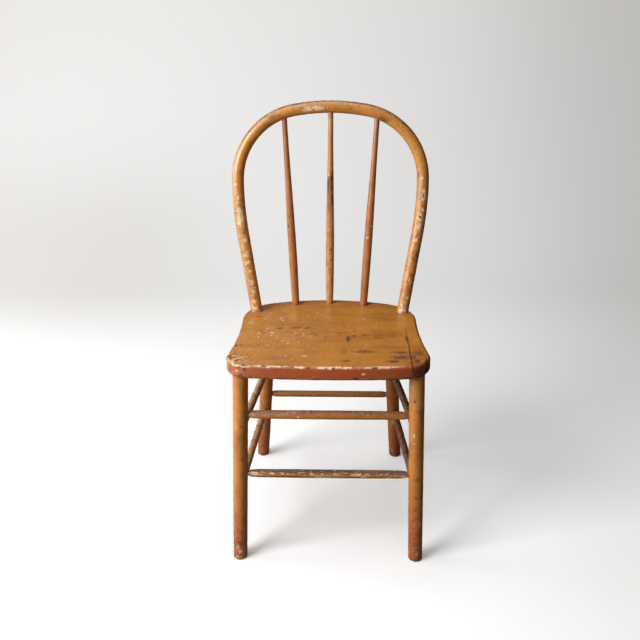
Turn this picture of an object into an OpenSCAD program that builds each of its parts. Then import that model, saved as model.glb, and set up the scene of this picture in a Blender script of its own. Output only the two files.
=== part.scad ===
// Hoop-back kitchen chair. A plank seat carries a bent hoop with three turned
// spindles, and stands on four raked round legs tied by seven turned stretchers.
// Every joint is a round tenon glued in a blind socket.
// Millimetres, +Z up, floor at z = 0. The front faces -Y, and left and right are
// as seen from the front, so right is +X. The origin is on the floor under the
// middle of the chair's outline.

/* [Seat] */
// Height of the seat's top face above the floor
seat_height = 440; // [360:1:540]
// Width across the front corners
seat_w = 389; // [320:1:480]
// Width across the rear corners
seat_rear_w = 365; // [300:1:450]
// Depth, front edge to back edge
seat_d = 340; // [280:1:420]
// Thickness of the plank
seat_t = 27; // [22:0.5:36]
// Radius of the front corners
front_corner_r = 46; // [30:1:60]
// Radius of the rear corners
rear_corner_r = 85; // [40:1:100]
// Radius of the slightly bowed front edge
front_edge_r = 2000; // [1200:10:4000]
// Radius of the round back edge
back_edge_r = 400; // [320:5:600]
// Radius of the hollow sides
waist_r = 850; // [500:10:1500]
// Rounding along the worn top edge
top_round = 6; // [3:0.5:8]
// Rounding along the bottom edge
bottom_round = 3; // [1:0.5:5]

/* [Split] */
// Distance from the middle of the seat to the split in the plank
split_x = 155; // [120:1:165]
// Length of the split, from the front edge
split_l = 185; // [60:1:240]
// Width of the split where it opens at the front edge
split_w = 1.6; // [0.8:0.1:3]
// Slant of the split through the thickness, in degrees
split_slant = 16; // [0:1:25]

/* [Hoop] */
// Diameter of the bent rod
hoop_d = 25; // [20:0.5:32]
// Width between the arms where they are furthest apart, centre to centre
hoop_w = 385; // [300:1:470]
// Rise of the hoop's centre line above the seat, measured along its lean
hoop_rise = 425; // [340:1:520]
// Backward lean, in degrees
hoop_lean = 12; // [5:0.5:18]
// Radius of the crown
crown_r = 420; // [400:5:700]
// Radius of the shoulders
shoulder_r = 143; // [100:1:150]
// Radius of the gentle bend below the shoulders
arm_r = 700; // [400:10:1200]
// Distance of the hoop's feet from the sides of the seat
hoop_inset = 26; // [20:0.5:40]
// Diameter of the tenons on the hoop's feet
hoop_tenon_d = 19; // [15:0.5:20]
// Length of the tenons on the hoop's feet
hoop_tenon_l = 19; // [14:0.5:20]

/* [Spindles] */
// Radius of the curved row that the feet of hoop and spindles stand on
row_r = 285; // [250:5:400]
// Distance of that row from the back edge, at the middle
row_margin = 20; // [16:0.5:30]
// Distance of an outer spindle from the middle spindle, at the seat
spindle_pitch_low = 74; // [60:1:90]
// Distance of an outer spindle from the middle spindle, at the hoop
spindle_pitch_high = 96; // [70:1:110]
// Diameter at the seat
spindle_foot_d = 15.5; // [14:0.5:20]
// Diameter of the swell
spindle_belly_d = 18; // [14:0.5:22]
// Height of the swell above the seat
spindle_belly_h = 105; // [50:1:160]
// Diameter at the hoop
spindle_top_d = 11; // [9:0.5:14]
// Diameter of the tenon in the seat
spindle_tenon_d = 12.5; // [10:0.5:13.5]
// Length of the tenon in the seat
spindle_tenon_l = 18; // [12:0.5:20]
// Depth that the top of a spindle goes into the hoop
spindle_top_l = 9; // [6:0.5:11]

/* [Legs] */
// Diameter at the seat
leg_top_d = 30; // [26:0.5:38]
// Diameter at the floor
leg_foot_d = 29; // [24:0.5:34]
// Bevel round the foot
foot_bevel = 2; // [0.5:0.5:4]
// Diameter of the tenon in the seat
leg_tenon_d = 22; // [18:0.5:24]
// Length of the tenon in the seat
leg_tenon_l = 18; // [12:0.5:20]
// Front leg's top, distance from the front edge of the seat
front_leg_inset = 35; // [30:1:60]
// Front leg's top, distance from the side of the seat
front_leg_side = 27.5; // [25:0.5:60]
// Front foot, how far forward of its top
front_rake = 25; // [0:1:60]
// Front foot, how far outside its top
front_splay = 13; // [0:1:40]
// Rear leg's top, distance from the back edge of the seat
rear_leg_inset = 55; // [50:1:90]
// Rear leg's top, distance from the side of the seat
rear_leg_side = 51.5; // [45:0.5:80]
// Rear foot, how far behind its top
rear_rake = 115; // [40:1:140]
// Rear foot, how far outside its top
rear_splay = 34; // [0:1:60]

/* [Stretchers] */
// Middle diameter of the two front stretchers
front_stretcher_d = 17; // [15:0.5:22]
// Middle diameter of the four side stretchers
side_stretcher_d = 15.5; // [14:0.5:20]
// Middle diameter of the rear stretcher
rear_stretcher_d = 15; // [14:0.5:20]
// Diameter just outside a leg
stretcher_end_d = 14; // [13:0.5:15]
// Diameter of the tenons
stretcher_tenon_d = 12; // [9:0.5:12.5]
// Length of the tenons
stretcher_tenon_l = 14; // [10:0.5:14.5]
// Length over which an end thickens from its tenon
stretcher_taper_l = 8; // [4:0.5:14]
// Height of the upper front stretcher
front_upper_z = 324; // [310:1:345]
// Height of the lower front stretcher
front_lower_z = 195; // [185:1:240]
// Front height of the upper side stretchers
side_upper_front_z = 289; // [260:1:305]
// Rear height of the upper side stretchers
side_upper_rear_z = 277; // [225:1:300]
// Front height of the lower side stretchers
side_lower_front_z = 164; // [120:1:175]
// Rear height of the lower side stretchers
side_lower_rear_z = 156; // [110:1:175]
// Height of the rear stretcher
rear_z = 199; // [180:1:220]
// Depth that feet have worn off the top of the lower front stretcher
footrest_wear = 3.5; // [0:0.5:4]

/* [Fit] */
// Glue gap round every tenon
glue_gap = 0.1; // [0.05:0.05:0.3]
// Space left past the tip of every tenon
tip_gap = 0.5; // [0.2:0.1:1.5]

/* [Hidden] */
$fn = 64;
big = 3000;
seam_turn = 35;

ochre = "#b97b3e";
brick = "#a35f3c";
umber = "#7a4c30";

seat_under = seat_height - seat_t;
leg_r = leg_top_d / 2;

// Extent of the chair from front to back, counted from the seat's front edge.
front_lean = atan2(norm([front_splay, front_rake]), seat_under);
rear_lean = atan2(norm([rear_splay, rear_rake]), seat_under);
foot_r = leg_foot_d / 2;
toe = front_leg_inset - front_rake * (1 - foot_bevel / seat_under) - foot_r / cos(front_lean);
heel = seat_d - rear_leg_inset + rear_rake * (1 - foot_bevel / seat_under)
    + foot_r / cos(rear_lean);
outer = seat_rear_w / 2 - hoop_inset;
foot_row_y = seat_d - row_margin - row_r + sqrt(row_r * row_r - outer * outer);
hoop_top = foot_row_y + hoop_rise * sin(hoop_lean) + hoop_d / 2;
front_y = -(min(0, toe) + max(heel, hoop_top, seat_d)) / 2;
back_y = front_y + seat_d;

// Point of the curved row of sockets at a distance x from the middle.
function row_point(x) =
    [x, back_y - row_margin - row_r + sqrt(row_r * row_r - x * x), seat_height];

// Legs of the right-hand side, as pairs of points: foot on the floor and top at
// the underside of the seat.
front_leg_top = [seat_w / 2 - front_leg_side, front_y + front_leg_inset, seat_under];
front_leg = [
    [front_leg_top.x + front_splay, front_leg_top.y - front_rake, 0], front_leg_top
];
rear_leg_top = [seat_rear_w / 2 - rear_leg_side, back_y - rear_leg_inset, seat_under];
rear_leg = [
    [rear_leg_top.x + rear_splay, rear_leg_top.y + rear_rake, 0], rear_leg_top
];

// Point on a leg's axis at height z, and its mirror image on the left.
function on_leg(leg, z) = leg[0] + (leg[1] - leg[0]) * z / seat_under;
function left(p) = [-p.x, p.y, p.z];

// Hoop outline in its own plane: x across, y up the lean, feet at y = 0.
hoop_half = hoop_w / 2;
crown_c = [0, hoop_rise - crown_r];
widest_y = crown_c.y + sqrt(pow(crown_r - shoulder_r, 2) - pow(hoop_half - shoulder_r, 2));
shoulder_c = [hoop_half - shoulder_r, widest_y];
arm_c = [hoop_half - arm_r, widest_y];
shoulder_end = atan2(shoulder_c.y - crown_c.y, shoulder_c.x);
hoop_foot = [outer, 0];
to_arm_c = arm_c - hoop_foot;
arm_straight = sqrt(to_arm_c * to_arm_c - arm_r * arm_r);
arm_dir = atan2(to_arm_c.y, to_arm_c.x) - asin(arm_r / norm(to_arm_c));

// Height of the hoop's centre line at a distance x from the middle.
function hoop_y(x) = crown_c.y + sqrt(crown_r * crown_r - x * x);

// Stations along the hoop's centre line, as [point, bearing of the outer side].
function bend(c, r, a, b, n) = [
    for (i = [0 : n - 1]) let (t = a + (b - a) * i / n) [c + r * [cos(t), sin(t)], t]
];
half_hoop = concat(
    [[hoop_foot - hoop_d * [cos(arm_dir), sin(arm_dir)], arm_dir - 90]],
    bend(arm_c, arm_r, arm_dir - 90, 0, 6),
    bend(shoulder_c, shoulder_r, 0, shoulder_end, 22),
    bend(crown_c, crown_r, shoulder_end, 90, 6)
);
hoop_path = concat(
    half_hoop, [[[0, hoop_rise], 90]],
    [for (i = [len(half_hoop) - 1 : -1 : 0])
        [[-half_hoop[i][0].x, half_hoop[i][0].y], 180 - half_hoop[i][1]]]
);
hoop_sides = 28;
function hoop_ring(s) = [for (i = [0 : hoop_sides - 1]) let (a = 360 * i / hoop_sides)
    [s[0].x + hoop_d / 2 * cos(a) * cos(s[1]), s[0].y + hoop_d / 2 * cos(a) * sin(s[1]),
        -hoop_d / 2 * sin(a)]];

// From the hoop's plane to the chair.
function from_hoop(p) = [
    p.x, row_point(outer).y + p.y * sin(hoop_lean), seat_height + p.y * cos(hoop_lean)
];

function spindle_low(i) = row_point(i * spindle_pitch_low);
function spindle_high(i) =
    let (x = i * spindle_pitch_high) from_hoop([x, hoop_y(x)]);

// Centre of a corner circle that touches a long edge arc from inside, with the
// corner's outermost point at half_w. The edge arc's centre is at [0, edge_cy],
// and side is -1 for the front edge and 1 for the back edge.
function corner_centre(edge_cy, edge_r, r, half_w, side) = [
    half_w - r, edge_cy + side * sqrt(pow(edge_r - r, 2) - pow(half_w - r, 2))
];

front_edge_c = [0, front_y + front_edge_r];
back_edge_c = [0, back_y - back_edge_r];
front_c = corner_centre(front_edge_c.y, front_edge_r, front_corner_r, seat_w / 2, -1);
rear_c = corner_centre(back_edge_c.y, back_edge_r, rear_corner_r, seat_rear_w / 2, 1);

// Centre of the hollow side's arc, which touches both corner circles outside.
side_run = rear_c - front_c;
front_reach = waist_r + front_corner_r;
rear_reach = waist_r + rear_corner_r;
side_along = (side_run * side_run + pow(front_reach, 2) - pow(rear_reach, 2))
    / (2 * norm(side_run));
side_out = sqrt(pow(front_reach, 2) - pow(side_along, 2));
side_dir = side_run / norm(side_run);
waist_c = front_c + side_along * side_dir + side_out * [side_dir.y, -side_dir.x];

function bearing(from, to) = atan2(to.y - from.y, to.x - from.x);
function past_half_turn(a) = a < 0 ? a + 360 : a;
function arc(c, r, a, b, n) = [
    for (i = [0 : n - 1]) c + r * [cos(a + (b - a) * i / n), sin(a + (b - a) * i / n)]
];

// Right half of the seat's outline, from the middle of the front edge to the
// middle of the back edge, drawn in by a distance d.
function half_outline(d) = concat(
    arc(front_edge_c, front_edge_r - d, -90, bearing(front_edge_c, front_c), 4),
    arc(front_c, front_corner_r - d, bearing(front_edge_c, front_c),
        bearing(front_c, waist_c), 14),
    arc(waist_c, waist_r + d, past_half_turn(bearing(waist_c, front_c)),
        past_half_turn(bearing(waist_c, rear_c)), 10),
    arc(rear_c, rear_corner_r - d, bearing(rear_c, waist_c),
        bearing(back_edge_c, rear_c), 12),
    arc(back_edge_c, back_edge_r - d, bearing(back_edge_c, rear_c), 90, 12)
);
function seat_outline(d) = let (half = half_outline(d)) concat(
    half, [[0, back_y - d]], [for (i = [len(half) - 1 : -1 : 1]) [-half[i].x, half[i].y]]
);

// Levels of the rounded plank, as [distance drawn in, height].
round_steps = 5;
seat_levels = concat(
    [for (i = [0 : round_steps - 1]) let (a = 90 * i / round_steps)
        [bottom_round * (1 - sin(a)), seat_under + bottom_round * (1 - cos(a))]],
    [[0, seat_under + bottom_round], [0, seat_height - top_round]],
    [for (i = [1 : round_steps]) let (a = 90 * i / round_steps)
        [top_round * (1 - cos(a)), seat_height - top_round * (1 - sin(a))]]
);

// Closed skin over rings of equally many points, lowest ring first.
module skin(rings) {
    n = len(rings[0]);
    last = (len(rings) - 1) * n;
    walls = [for (k = [0 : len(rings) - 2], i = [0 : n - 1])
        let (a = k * n + i, b = k * n + (i + 1) % n)
        each [[a, a + n, b + n], [a, b + n, b]]];
    floor_face = [[for (i = [0 : n - 1]) i]];
    roof_face = [[for (i = [n - 1 : -1 : 0]) last + i]];
    polyhedron(points = [for (r = rings) each r], faces = concat(walls, floor_face, roof_face));
}

// Stands its children's +Z on the line from p to q, with their origin at p. They are
// turned a little about that line, so that the seam of a round surface stays clear of
// the highest and lowest points of its cut ends.
module along(p, q) {
    v = q - p;
    translate(p)
        rotate([0, acos(v.z / norm(v)), atan2(v.y, v.x)])
            rotate([0, 0, seam_turn])
                children();
}

// Everything between two heights.
module slab(low, high) {
    translate([-big / 2, -big / 2, low]) cube([big, big, high - low]);
}

// Tenon of diameter d that goes l past the point p, pointing away from q.
module tenon(p, q, d, l, root) {
    along(p, q) translate([0, 0, -l]) cylinder(d = d, h = l + root);
}

// Socket for that tenon, open on the side of q.
module socket(p, q, d, l, mouth) {
    along(p, q) translate([0, 0, -l - tip_gap])
        cylinder(d = d + 2 * glue_gap, h = l + tip_gap + mouth);
}

// Socket in a leg for the stretcher that runs from p to q.
module stretcher_socket(p, q) {
    along(p, q) translate([0, 0, leg_r - stretcher_tenon_l - tip_gap])
        cylinder(d = stretcher_tenon_d + 2 * glue_gap, h = stretcher_tenon_l + leg_r);
}

// Turned stretcher between two points on leg axes, swelling to d at the middle.
module stretcher(p, q, d) {
    run = norm(q - p);
    tip = leg_r - stretcher_tenon_l;
    neck = leg_r + 3;
    body = neck + stretcher_taper_l;
    swell = [for (i = [0 : 12]) let (t = i / 12)
        [stretcher_end_d / 2 + (d - stretcher_end_d) / 2 * sin(180 * t),
            body + (run - 2 * body) * t]];
    half_neck = [
        [0, tip], [stretcher_tenon_d / 2, tip], [stretcher_tenon_d / 2, neck],
        [(stretcher_tenon_d + 2 * stretcher_end_d) / 6, neck + stretcher_taper_l / 3]
    ];
    far_neck = [for (i = [3 : -1 : 0]) [half_neck[i].x, run - half_neck[i].y]];
    along(p, q) rotate_extrude() polygon(concat(half_neck, swell, far_neck));
}

// Leg from its foot to its top with the given [from, to] stretcher sockets.
module leg(ends, sockets) {
    foot = ends[0];
    top = ends[1];
    run = norm(top - foot);
    past = 40;
    slope = (leg_r - foot_r) / run;
    difference() {
        intersection() {
            along(foot, top) translate([0, 0, -past]) cylinder(
                r1 = foot_r - slope * past, r2 = leg_r + slope * past,
                h = run + 2 * past
            );
            slab(0, seat_under);
            translate(foot) cylinder(
                r1 = foot_r - foot_bevel, r2 = foot_r - foot_bevel + big,
                h = big
            );
        }
        for (s = sockets) stretcher_socket(s[0], s[1]);
    }
    tenon(top, foot, leg_tenon_d, leg_tenon_l, leg_tenon_d / 2);
}

// Revolved spindle number i: -1 left, 0 centre, 1 right.
module spindle(i) {
    low = spindle_low(i);
    high = spindle_high(i);
    run = norm(high - low);
    end = run - hoop_d / 2 + spindle_top_l;
    neck = run - hoop_d / 2 - 6;
    seat_r = spindle_foot_d / 2;
    belly_r = spindle_belly_d / 2;
    top_r = spindle_top_d / 2;
    below = [for (k = [0 : 5]) let (t = k / 6)
        [seat_r + (belly_r - seat_r) * sin(90 * t), spindle_belly_h * t]];
    above = [for (k = [0 : 10]) let (t = k / 10)
        [top_r + (belly_r - top_r) * (1 + cos(180 * t)) / 2,
            spindle_belly_h + (neck - spindle_belly_h) * t]];
    intersection() {
        along(low, high) rotate_extrude() polygon(concat(
            [[0, -seat_r], [seat_r, -seat_r]], below, above, [[top_r, end], [0, end]]
        ));
        slab(seat_height, big);
    }
    tenon(low, high, spindle_tenon_d, spindle_tenon_l, seat_r);
}

// Round pin along the lower part of the right arm, from s to e past its foot.
module arm_pin(s, e, d) {
    translate(hoop_foot) rotate([0, 0, arm_dir]) translate([s, 0, 0])
        rotate([0, 90, 0]) cylinder(d = d, h = e - s);
}

module hoop_plane() {
    translate(from_hoop([0, 0])) rotate([90 - hoop_lean, 0, 0]) children();
}

module seat() {
    color(ochre) difference() {
        skin([for (level = seat_levels)
            [for (p = seat_outline(level[0])) [p.x, p.y, level[1]]]]);
        for (m = [0, 1]) mirror([m, 0, 0]) {
            socket(front_leg[1], front_leg[0], leg_tenon_d, leg_tenon_l, 5);
            socket(rear_leg[1], rear_leg[0], leg_tenon_d, leg_tenon_l, 5);
            hoop_plane() arm_pin(-hoop_tenon_l - tip_gap, 5, hoop_tenon_d + 2 * glue_gap);
        }
        for (i = [-1 : 1])
            socket(spindle_low(i), spindle_high(i), spindle_tenon_d, spindle_tenon_l, 5);
        split();
    }
}

// Wedge-shaped gap of the split, widest at the front edge.
module split() {
    translate([split_x, front_y, seat_height]) rotate([0, -split_slant, 0])
        translate([0, 0, -2 * seat_t]) linear_extrude(4 * seat_t)
            polygon([[-split_w / 2, -5], [split_w / 2, -5], [0, split_l]]);
}

module back_hoop() {
    color(ochre) difference() {
        hoop_plane() skin([for (s = hoop_path) hoop_ring(s)]);
        slab(seat_height - 2 * hoop_d, seat_height);
        for (i = [-1 : 1]) socket(spindle_high(i), spindle_low(i),
            spindle_top_d, spindle_top_l - hoop_d / 2, hoop_d);
    }
    color(ochre) for (m = [0, 1]) mirror([m, 0, 0])
        hoop_plane() arm_pin(-hoop_tenon_l, hoop_d / 2, hoop_tenon_d);
}

module spindle_left() {
    color(brick) spindle(-1);
}

module spindle_center() {
    color(ochre) spindle(0);
}

module spindle_right() {
    color(brick) spindle(1);
}

// Ends of each stretcher on the axes of the right-hand legs.
front_upper_end = on_leg(front_leg, front_upper_z);
front_lower_end = on_leg(front_leg, front_lower_z);
side_upper_ends = [on_leg(front_leg, side_upper_front_z), on_leg(rear_leg, side_upper_rear_z)];
side_lower_ends = [on_leg(front_leg, side_lower_front_z), on_leg(rear_leg, side_lower_rear_z)];
rear_end = on_leg(rear_leg, rear_z);

module leg_front_right() {
    color(ochre) leg(front_leg, [
        [front_upper_end, left(front_upper_end)], [front_lower_end, left(front_lower_end)],
        [side_upper_ends[0], side_upper_ends[1]], [side_lower_ends[0], side_lower_ends[1]]
    ]);
}

module leg_front_left() {
    mirror([1, 0, 0]) leg_front_right();
}

module leg_rear_right() {
    color(brick) leg(rear_leg, [
        [rear_end, left(rear_end)],
        [side_upper_ends[1], side_upper_ends[0]], [side_lower_ends[1], side_lower_ends[0]]
    ]);
}

module leg_rear_left() {
    mirror([1, 0, 0]) leg_rear_right();
}

module stretcher_front_upper() {
    color(ochre) stretcher(front_upper_end, left(front_upper_end), front_stretcher_d);
}

module stretcher_front_lower() {
    clear = front_lower_end.x - leg_r - 3;
    color(umber) difference() {
        stretcher(front_lower_end, left(front_lower_end), front_stretcher_d);
        translate([-clear, front_lower_end.y - leg_r,
            front_lower_z + front_stretcher_d / 2 - footrest_wear])
            cube([2 * clear, 2 * leg_r, leg_r]);
    }
}

module stretcher_right_upper() {
    color(umber) stretcher(side_upper_ends[0], side_upper_ends[1], side_stretcher_d);
}

module stretcher_left_upper() {
    mirror([1, 0, 0]) stretcher_right_upper();
}

module stretcher_right_lower() {
    color(umber) stretcher(side_lower_ends[0], side_lower_ends[1], side_stretcher_d);
}

module stretcher_left_lower() {
    mirror([1, 0, 0]) stretcher_right_lower();
}

module stretcher_rear() {
    color(brick) stretcher(rear_end, left(rear_end), rear_stretcher_d);
}

seat();
back_hoop();
spindle_left();
spindle_center();
spindle_right();
leg_front_left();
leg_front_right();
leg_rear_left();
leg_rear_right();
stretcher_front_upper();
stretcher_front_lower();
stretcher_left_upper();
stretcher_left_lower();
stretcher_right_upper();
stretcher_right_lower();
stretcher_rear();
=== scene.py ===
import math

import bmesh
import bpy
import numpy as np
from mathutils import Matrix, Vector


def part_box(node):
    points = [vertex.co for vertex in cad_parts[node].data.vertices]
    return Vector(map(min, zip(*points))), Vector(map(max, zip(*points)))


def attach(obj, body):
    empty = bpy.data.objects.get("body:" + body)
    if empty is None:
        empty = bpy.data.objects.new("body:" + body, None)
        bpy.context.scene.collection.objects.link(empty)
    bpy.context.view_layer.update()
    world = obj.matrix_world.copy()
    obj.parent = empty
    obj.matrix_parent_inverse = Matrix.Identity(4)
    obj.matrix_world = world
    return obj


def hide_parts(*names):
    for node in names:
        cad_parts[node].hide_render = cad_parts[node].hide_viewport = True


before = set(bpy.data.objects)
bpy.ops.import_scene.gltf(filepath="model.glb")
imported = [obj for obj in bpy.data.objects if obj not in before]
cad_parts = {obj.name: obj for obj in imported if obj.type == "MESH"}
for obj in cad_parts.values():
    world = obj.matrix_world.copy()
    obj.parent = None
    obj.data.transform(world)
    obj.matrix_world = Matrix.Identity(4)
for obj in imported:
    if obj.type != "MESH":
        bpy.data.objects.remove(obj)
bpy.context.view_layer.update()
seat_low, seat_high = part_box("seat")

bl_info = {
    "name": "Peeling Paint Chair",
    "version": (1, 0, 0),
    "blender": (4, 5, 0),
    "location": "3D View > Sidebar > Chair",
    "description": "Builds the painted, chipped pieces of a hoop-back kitchen chair",
    "category": "Add Mesh",
}

MM = 0.001
SURROUND = 0.55  # brightness of the studio outside the lit floor


def tint(code):
    """Linear colour of a six-digit paint code."""
    parts = [int(code[i:i + 2], 16) / 255 for i in (0, 2, 4)]
    return tuple(
        c / 12.92 if c <= 0.04045 else ((c + 0.055) / 1.055) ** 2.4 for c in parts
    )


# ---------------------------------------------------------------- sizes and colours


def length(label, note, value, **limits):
    return bpy.props.FloatProperty(
        name=label, description=note, default=value, unit="LENGTH", precision=4, **limits
    )


def colour(label, note, code):
    return bpy.props.FloatVectorProperty(
        name=label, description=note, default=tint(code), subtype="COLOR",
        size=3, min=0, max=1,
    )


class ChairSizes(bpy.types.PropertyGroup):
    ring_spacing: length("Ring Spacing", "Distance between the rings of a turned rod", 1.25 * MM)
    seat_round_top: length("Top Rounding", "Radius along the seat's top edge", 6 * MM)
    seat_round_under: length("Under Rounding", "Radius along the seat's lower edge", 3 * MM)
    corner_rub: length("Corner Rub", "Wood rubbed off the front right corner", 4.5 * MM)
    corner_reach: length("Corner Reach", "Distance over which the corner is rubbed", 75 * MM)
    split_place: length("Split Place", "Distance of the split from the middle", 155 * MM)
    split_length: length("Split Length", "Length of the split from the front edge", 185 * MM)
    split_width: length("Split Width", "Opening of the split at the front edge", 1.8 * MM)
    split_slant: bpy.props.FloatProperty(
        name="Split Slant", description="Lean of the split through the plank",
        default=math.radians(16), subtype="ANGLE",
    )
    hoop_thick: length("Hoop Diameter", "Diameter of the bent rod", 25 * MM)
    hoop_width: length("Hoop Width", "Widest distance between the arms' centre lines", 385 * MM)
    hoop_rise: length("Hoop Rise", "Rise of the crown along the lean", 425 * MM)
    hoop_lean: bpy.props.FloatProperty(
        name="Hoop Lean", description="Backward lean of the hoop",
        default=math.radians(12), subtype="ANGLE",
    )
    crown_radius: length("Crown Radius", "Bend of the hoop's top", 420 * MM)
    shoulder_radius: length("Shoulder Radius", "Bend of the hoop's shoulders", 143 * MM)
    arm_radius: length("Arm Radius", "Bend of the hoop's arms", 700 * MM)
    hoop_tenon: length("Hoop Tenon", "Diameter of the hoop's tenons", 19 * MM)
    hoop_tenon_length: length("Hoop Tenon Length", "Length of the hoop's tenons", 19 * MM)
    shoulder_sink: length("Shoulder Sink", "Depth of a leg's or arm's full rod in the seat", 4.5 * MM)
    spindle_foot: length("Spindle Foot", "Diameter at the seat", 15.5 * MM)
    spindle_belly: length("Spindle Belly", "Largest diameter", 18 * MM)
    spindle_belly_height: length("Belly Height", "Height of the belly above the seat", 105 * MM)
    spindle_top: length("Spindle Top", "Diameter at the hoop", 11 * MM)
    spindle_neck: length("Spindle Neck", "Straight length of a spindle under the hoop", 15 * MM)
    spindle_tenon: length("Spindle Tenon", "Diameter of the foot tenon", 12.5 * MM)
    spindle_sink: length("Spindle Sink", "Depth of a spindle's full foot in the seat", 2.5 * MM)
    leg_top: length("Leg Top", "Diameter of a leg at the seat", 30 * MM)
    leg_foot: length("Leg Foot", "Diameter of a leg at the floor", 29 * MM)
    foot_bevel: length("Foot Bevel", "Bevel round the foot", 2 * MM)
    leg_tenon: length("Leg Tenon", "Diameter of a leg's tenon", 22 * MM)
    rung_front: length("Front Rung", "Diameter of a front rung", 17.8 * MM)
    rung_side: length("Side Rung", "Diameter of a side rung", 15.5 * MM)
    rung_rear: length("Rear Rung", "Diameter of the rear rung", 15 * MM)
    rung_end: length("Rung End", "Diameter of a rung beside its neck", 15 * MM)
    rung_tenon: length("Rung Tenon", "Diameter of a rung's tenon", 12 * MM)
    rung_tenon_length: length("Rung Tenon Length", "Length of a rung's tenon", 14 * MM)
    rung_shoulder: length("Rung Shoulder", "Distance of a rung's neck from its leg", 3 * MM)
    rung_neck: length("Rung Neck", "Length over which a rung narrows", 6 * MM)
    footrest_wear: length("Footrest Wear", "Wood worn off the lower front rung", 2.4 * MM)
    chip_depth: length("Chip Depth", "Depth of a chip that reaches the wood", 0.35 * MM)


class PaintColours(bpy.types.PropertyGroup):
    ochre: colour("Ochre", "Top coat of the seat", "b97829")
    hoop_ochre: colour("Hoop Ochre", "Top coat of the hoop", "c58436")
    leg_ochre: colour("Leg Ochre", "Top coat of the front legs", "c47e30")
    terracotta: colour("Terracotta", "Coat of the outer spindles", "b27440")
    tan: colour("Tan", "Coat of the middle spindle", "c88f58")
    russet: colour("Russet", "Coat of the rear legs", "b8702e")
    brick: colour("Brick", "Second coat", "b04e15")
    cream: colour("Cream", "Oldest coat", "e8c9a4")
    wood: colour("Bare Wood", "Wood where every coat is gone", "562c18")
    # Grime colour: darkens real dirt, and also paints shade on undersides and on the right rungs
    grime_and_shade: colour("Grime", "Dirt rubbed into the paint", "62340f")
    rubbed: colour("Rubbed Paint", "Paint of the side rungs", "b88a5a")
    floor: colour("Floor", "Floor and backdrop", "f2f2f2")


# ---------------------------------------------------------------- shader nodes


def feed(tree, value, socket):
    """Joins a socket to another one, or writes a plain value into it."""
    if isinstance(value, bpy.types.NodeSocket):
        tree.links.new(value, socket)
    elif socket.type == "RGBA" and len(value) == 3:
        socket.default_value = (*value, 1)
    else:
        socket.default_value = value


def feed_all(tree, node, *values):
    for name, value in values:
        feed(tree, value, node.inputs[name])


def add_node(tree, kind, *values, **settings):
    """Adds a node with its settings, then feeds its inputs by name or number."""
    node = tree.nodes.new(kind)
    for name, value in settings.items():
        setattr(node, name, value)
    feed_all(tree, node, *values)
    return node


def maths(tree, operation, *values, clamp=False):
    node = add_node(
        tree, "ShaderNodeMath", *enumerate(values), operation=operation, use_clamp=clamp
    )
    return node.outputs[0]


def line(tree, value, slope, start, clamp=False):
    """Straight line: the value times its slope, plus the start."""
    return maths(tree, "MULTIPLY_ADD", value, slope, start, clamp=clamp)


def centred(tree, value, width):
    """A value from 0 to 1, spread over a width round zero."""
    return line(tree, value, width, -width / 2)


def step(tree, value, low, high):
    """Smooth step of a value from low to high, as 0 to 1."""
    node = add_node(
        tree, "ShaderNodeMapRange", ("Value", value), ("From Min", low), ("From Max", high),
        interpolation_type="SMOOTHSTEP",
    )
    return node.outputs["Result"]


def blend_colour(tree, factor, first, second):
    values = ((0, factor), (6, first), (7, second))
    return add_node(tree, "ShaderNodeMix", *values, data_type="RGBA").outputs[2]


def noise(tree, place, scale, detail, roughness):
    """Noise from 0 to 1, with about scale lumps to a metre."""
    values = (("Vector", place), ("Scale", scale), ("Detail", detail), ("Roughness", roughness))
    return add_node(tree, "ShaderNodeTexNoise", *values).outputs["Fac"]


def scaled(tree, vector, amount):
    """A vector or colour times one number, or times a number for each axis."""
    if isinstance(amount, tuple):
        values, operation = ((0, vector), (1, amount)), "MULTIPLY"
    else:
        values, operation = ((0, vector), ("Scale", amount)), "SCALE"
    return add_node(tree, "ShaderNodeVectorMath", *values, operation=operation).outputs[0]


def split_colour(tree, colour_in):
    return add_node(tree, "ShaderNodeSeparateColor", (0, colour_in)).outputs


def new_material(name):
    """A new material, with its tree and its Principled shader."""
    material = bpy.data.materials.new(name)
    material.use_nodes = True
    return material, material.node_tree, material.node_tree.nodes["Principled BSDF"]


def add_sockets(tree, takes, gives):
    for name, kind in takes:
        tree.interface.new_socket(name, in_out="INPUT", socket_type="NodeSocket" + kind)
    for name, kind in gives:
        tree.interface.new_socket(name, in_out="OUTPUT", socket_type="NodeSocket" + kind)


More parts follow.
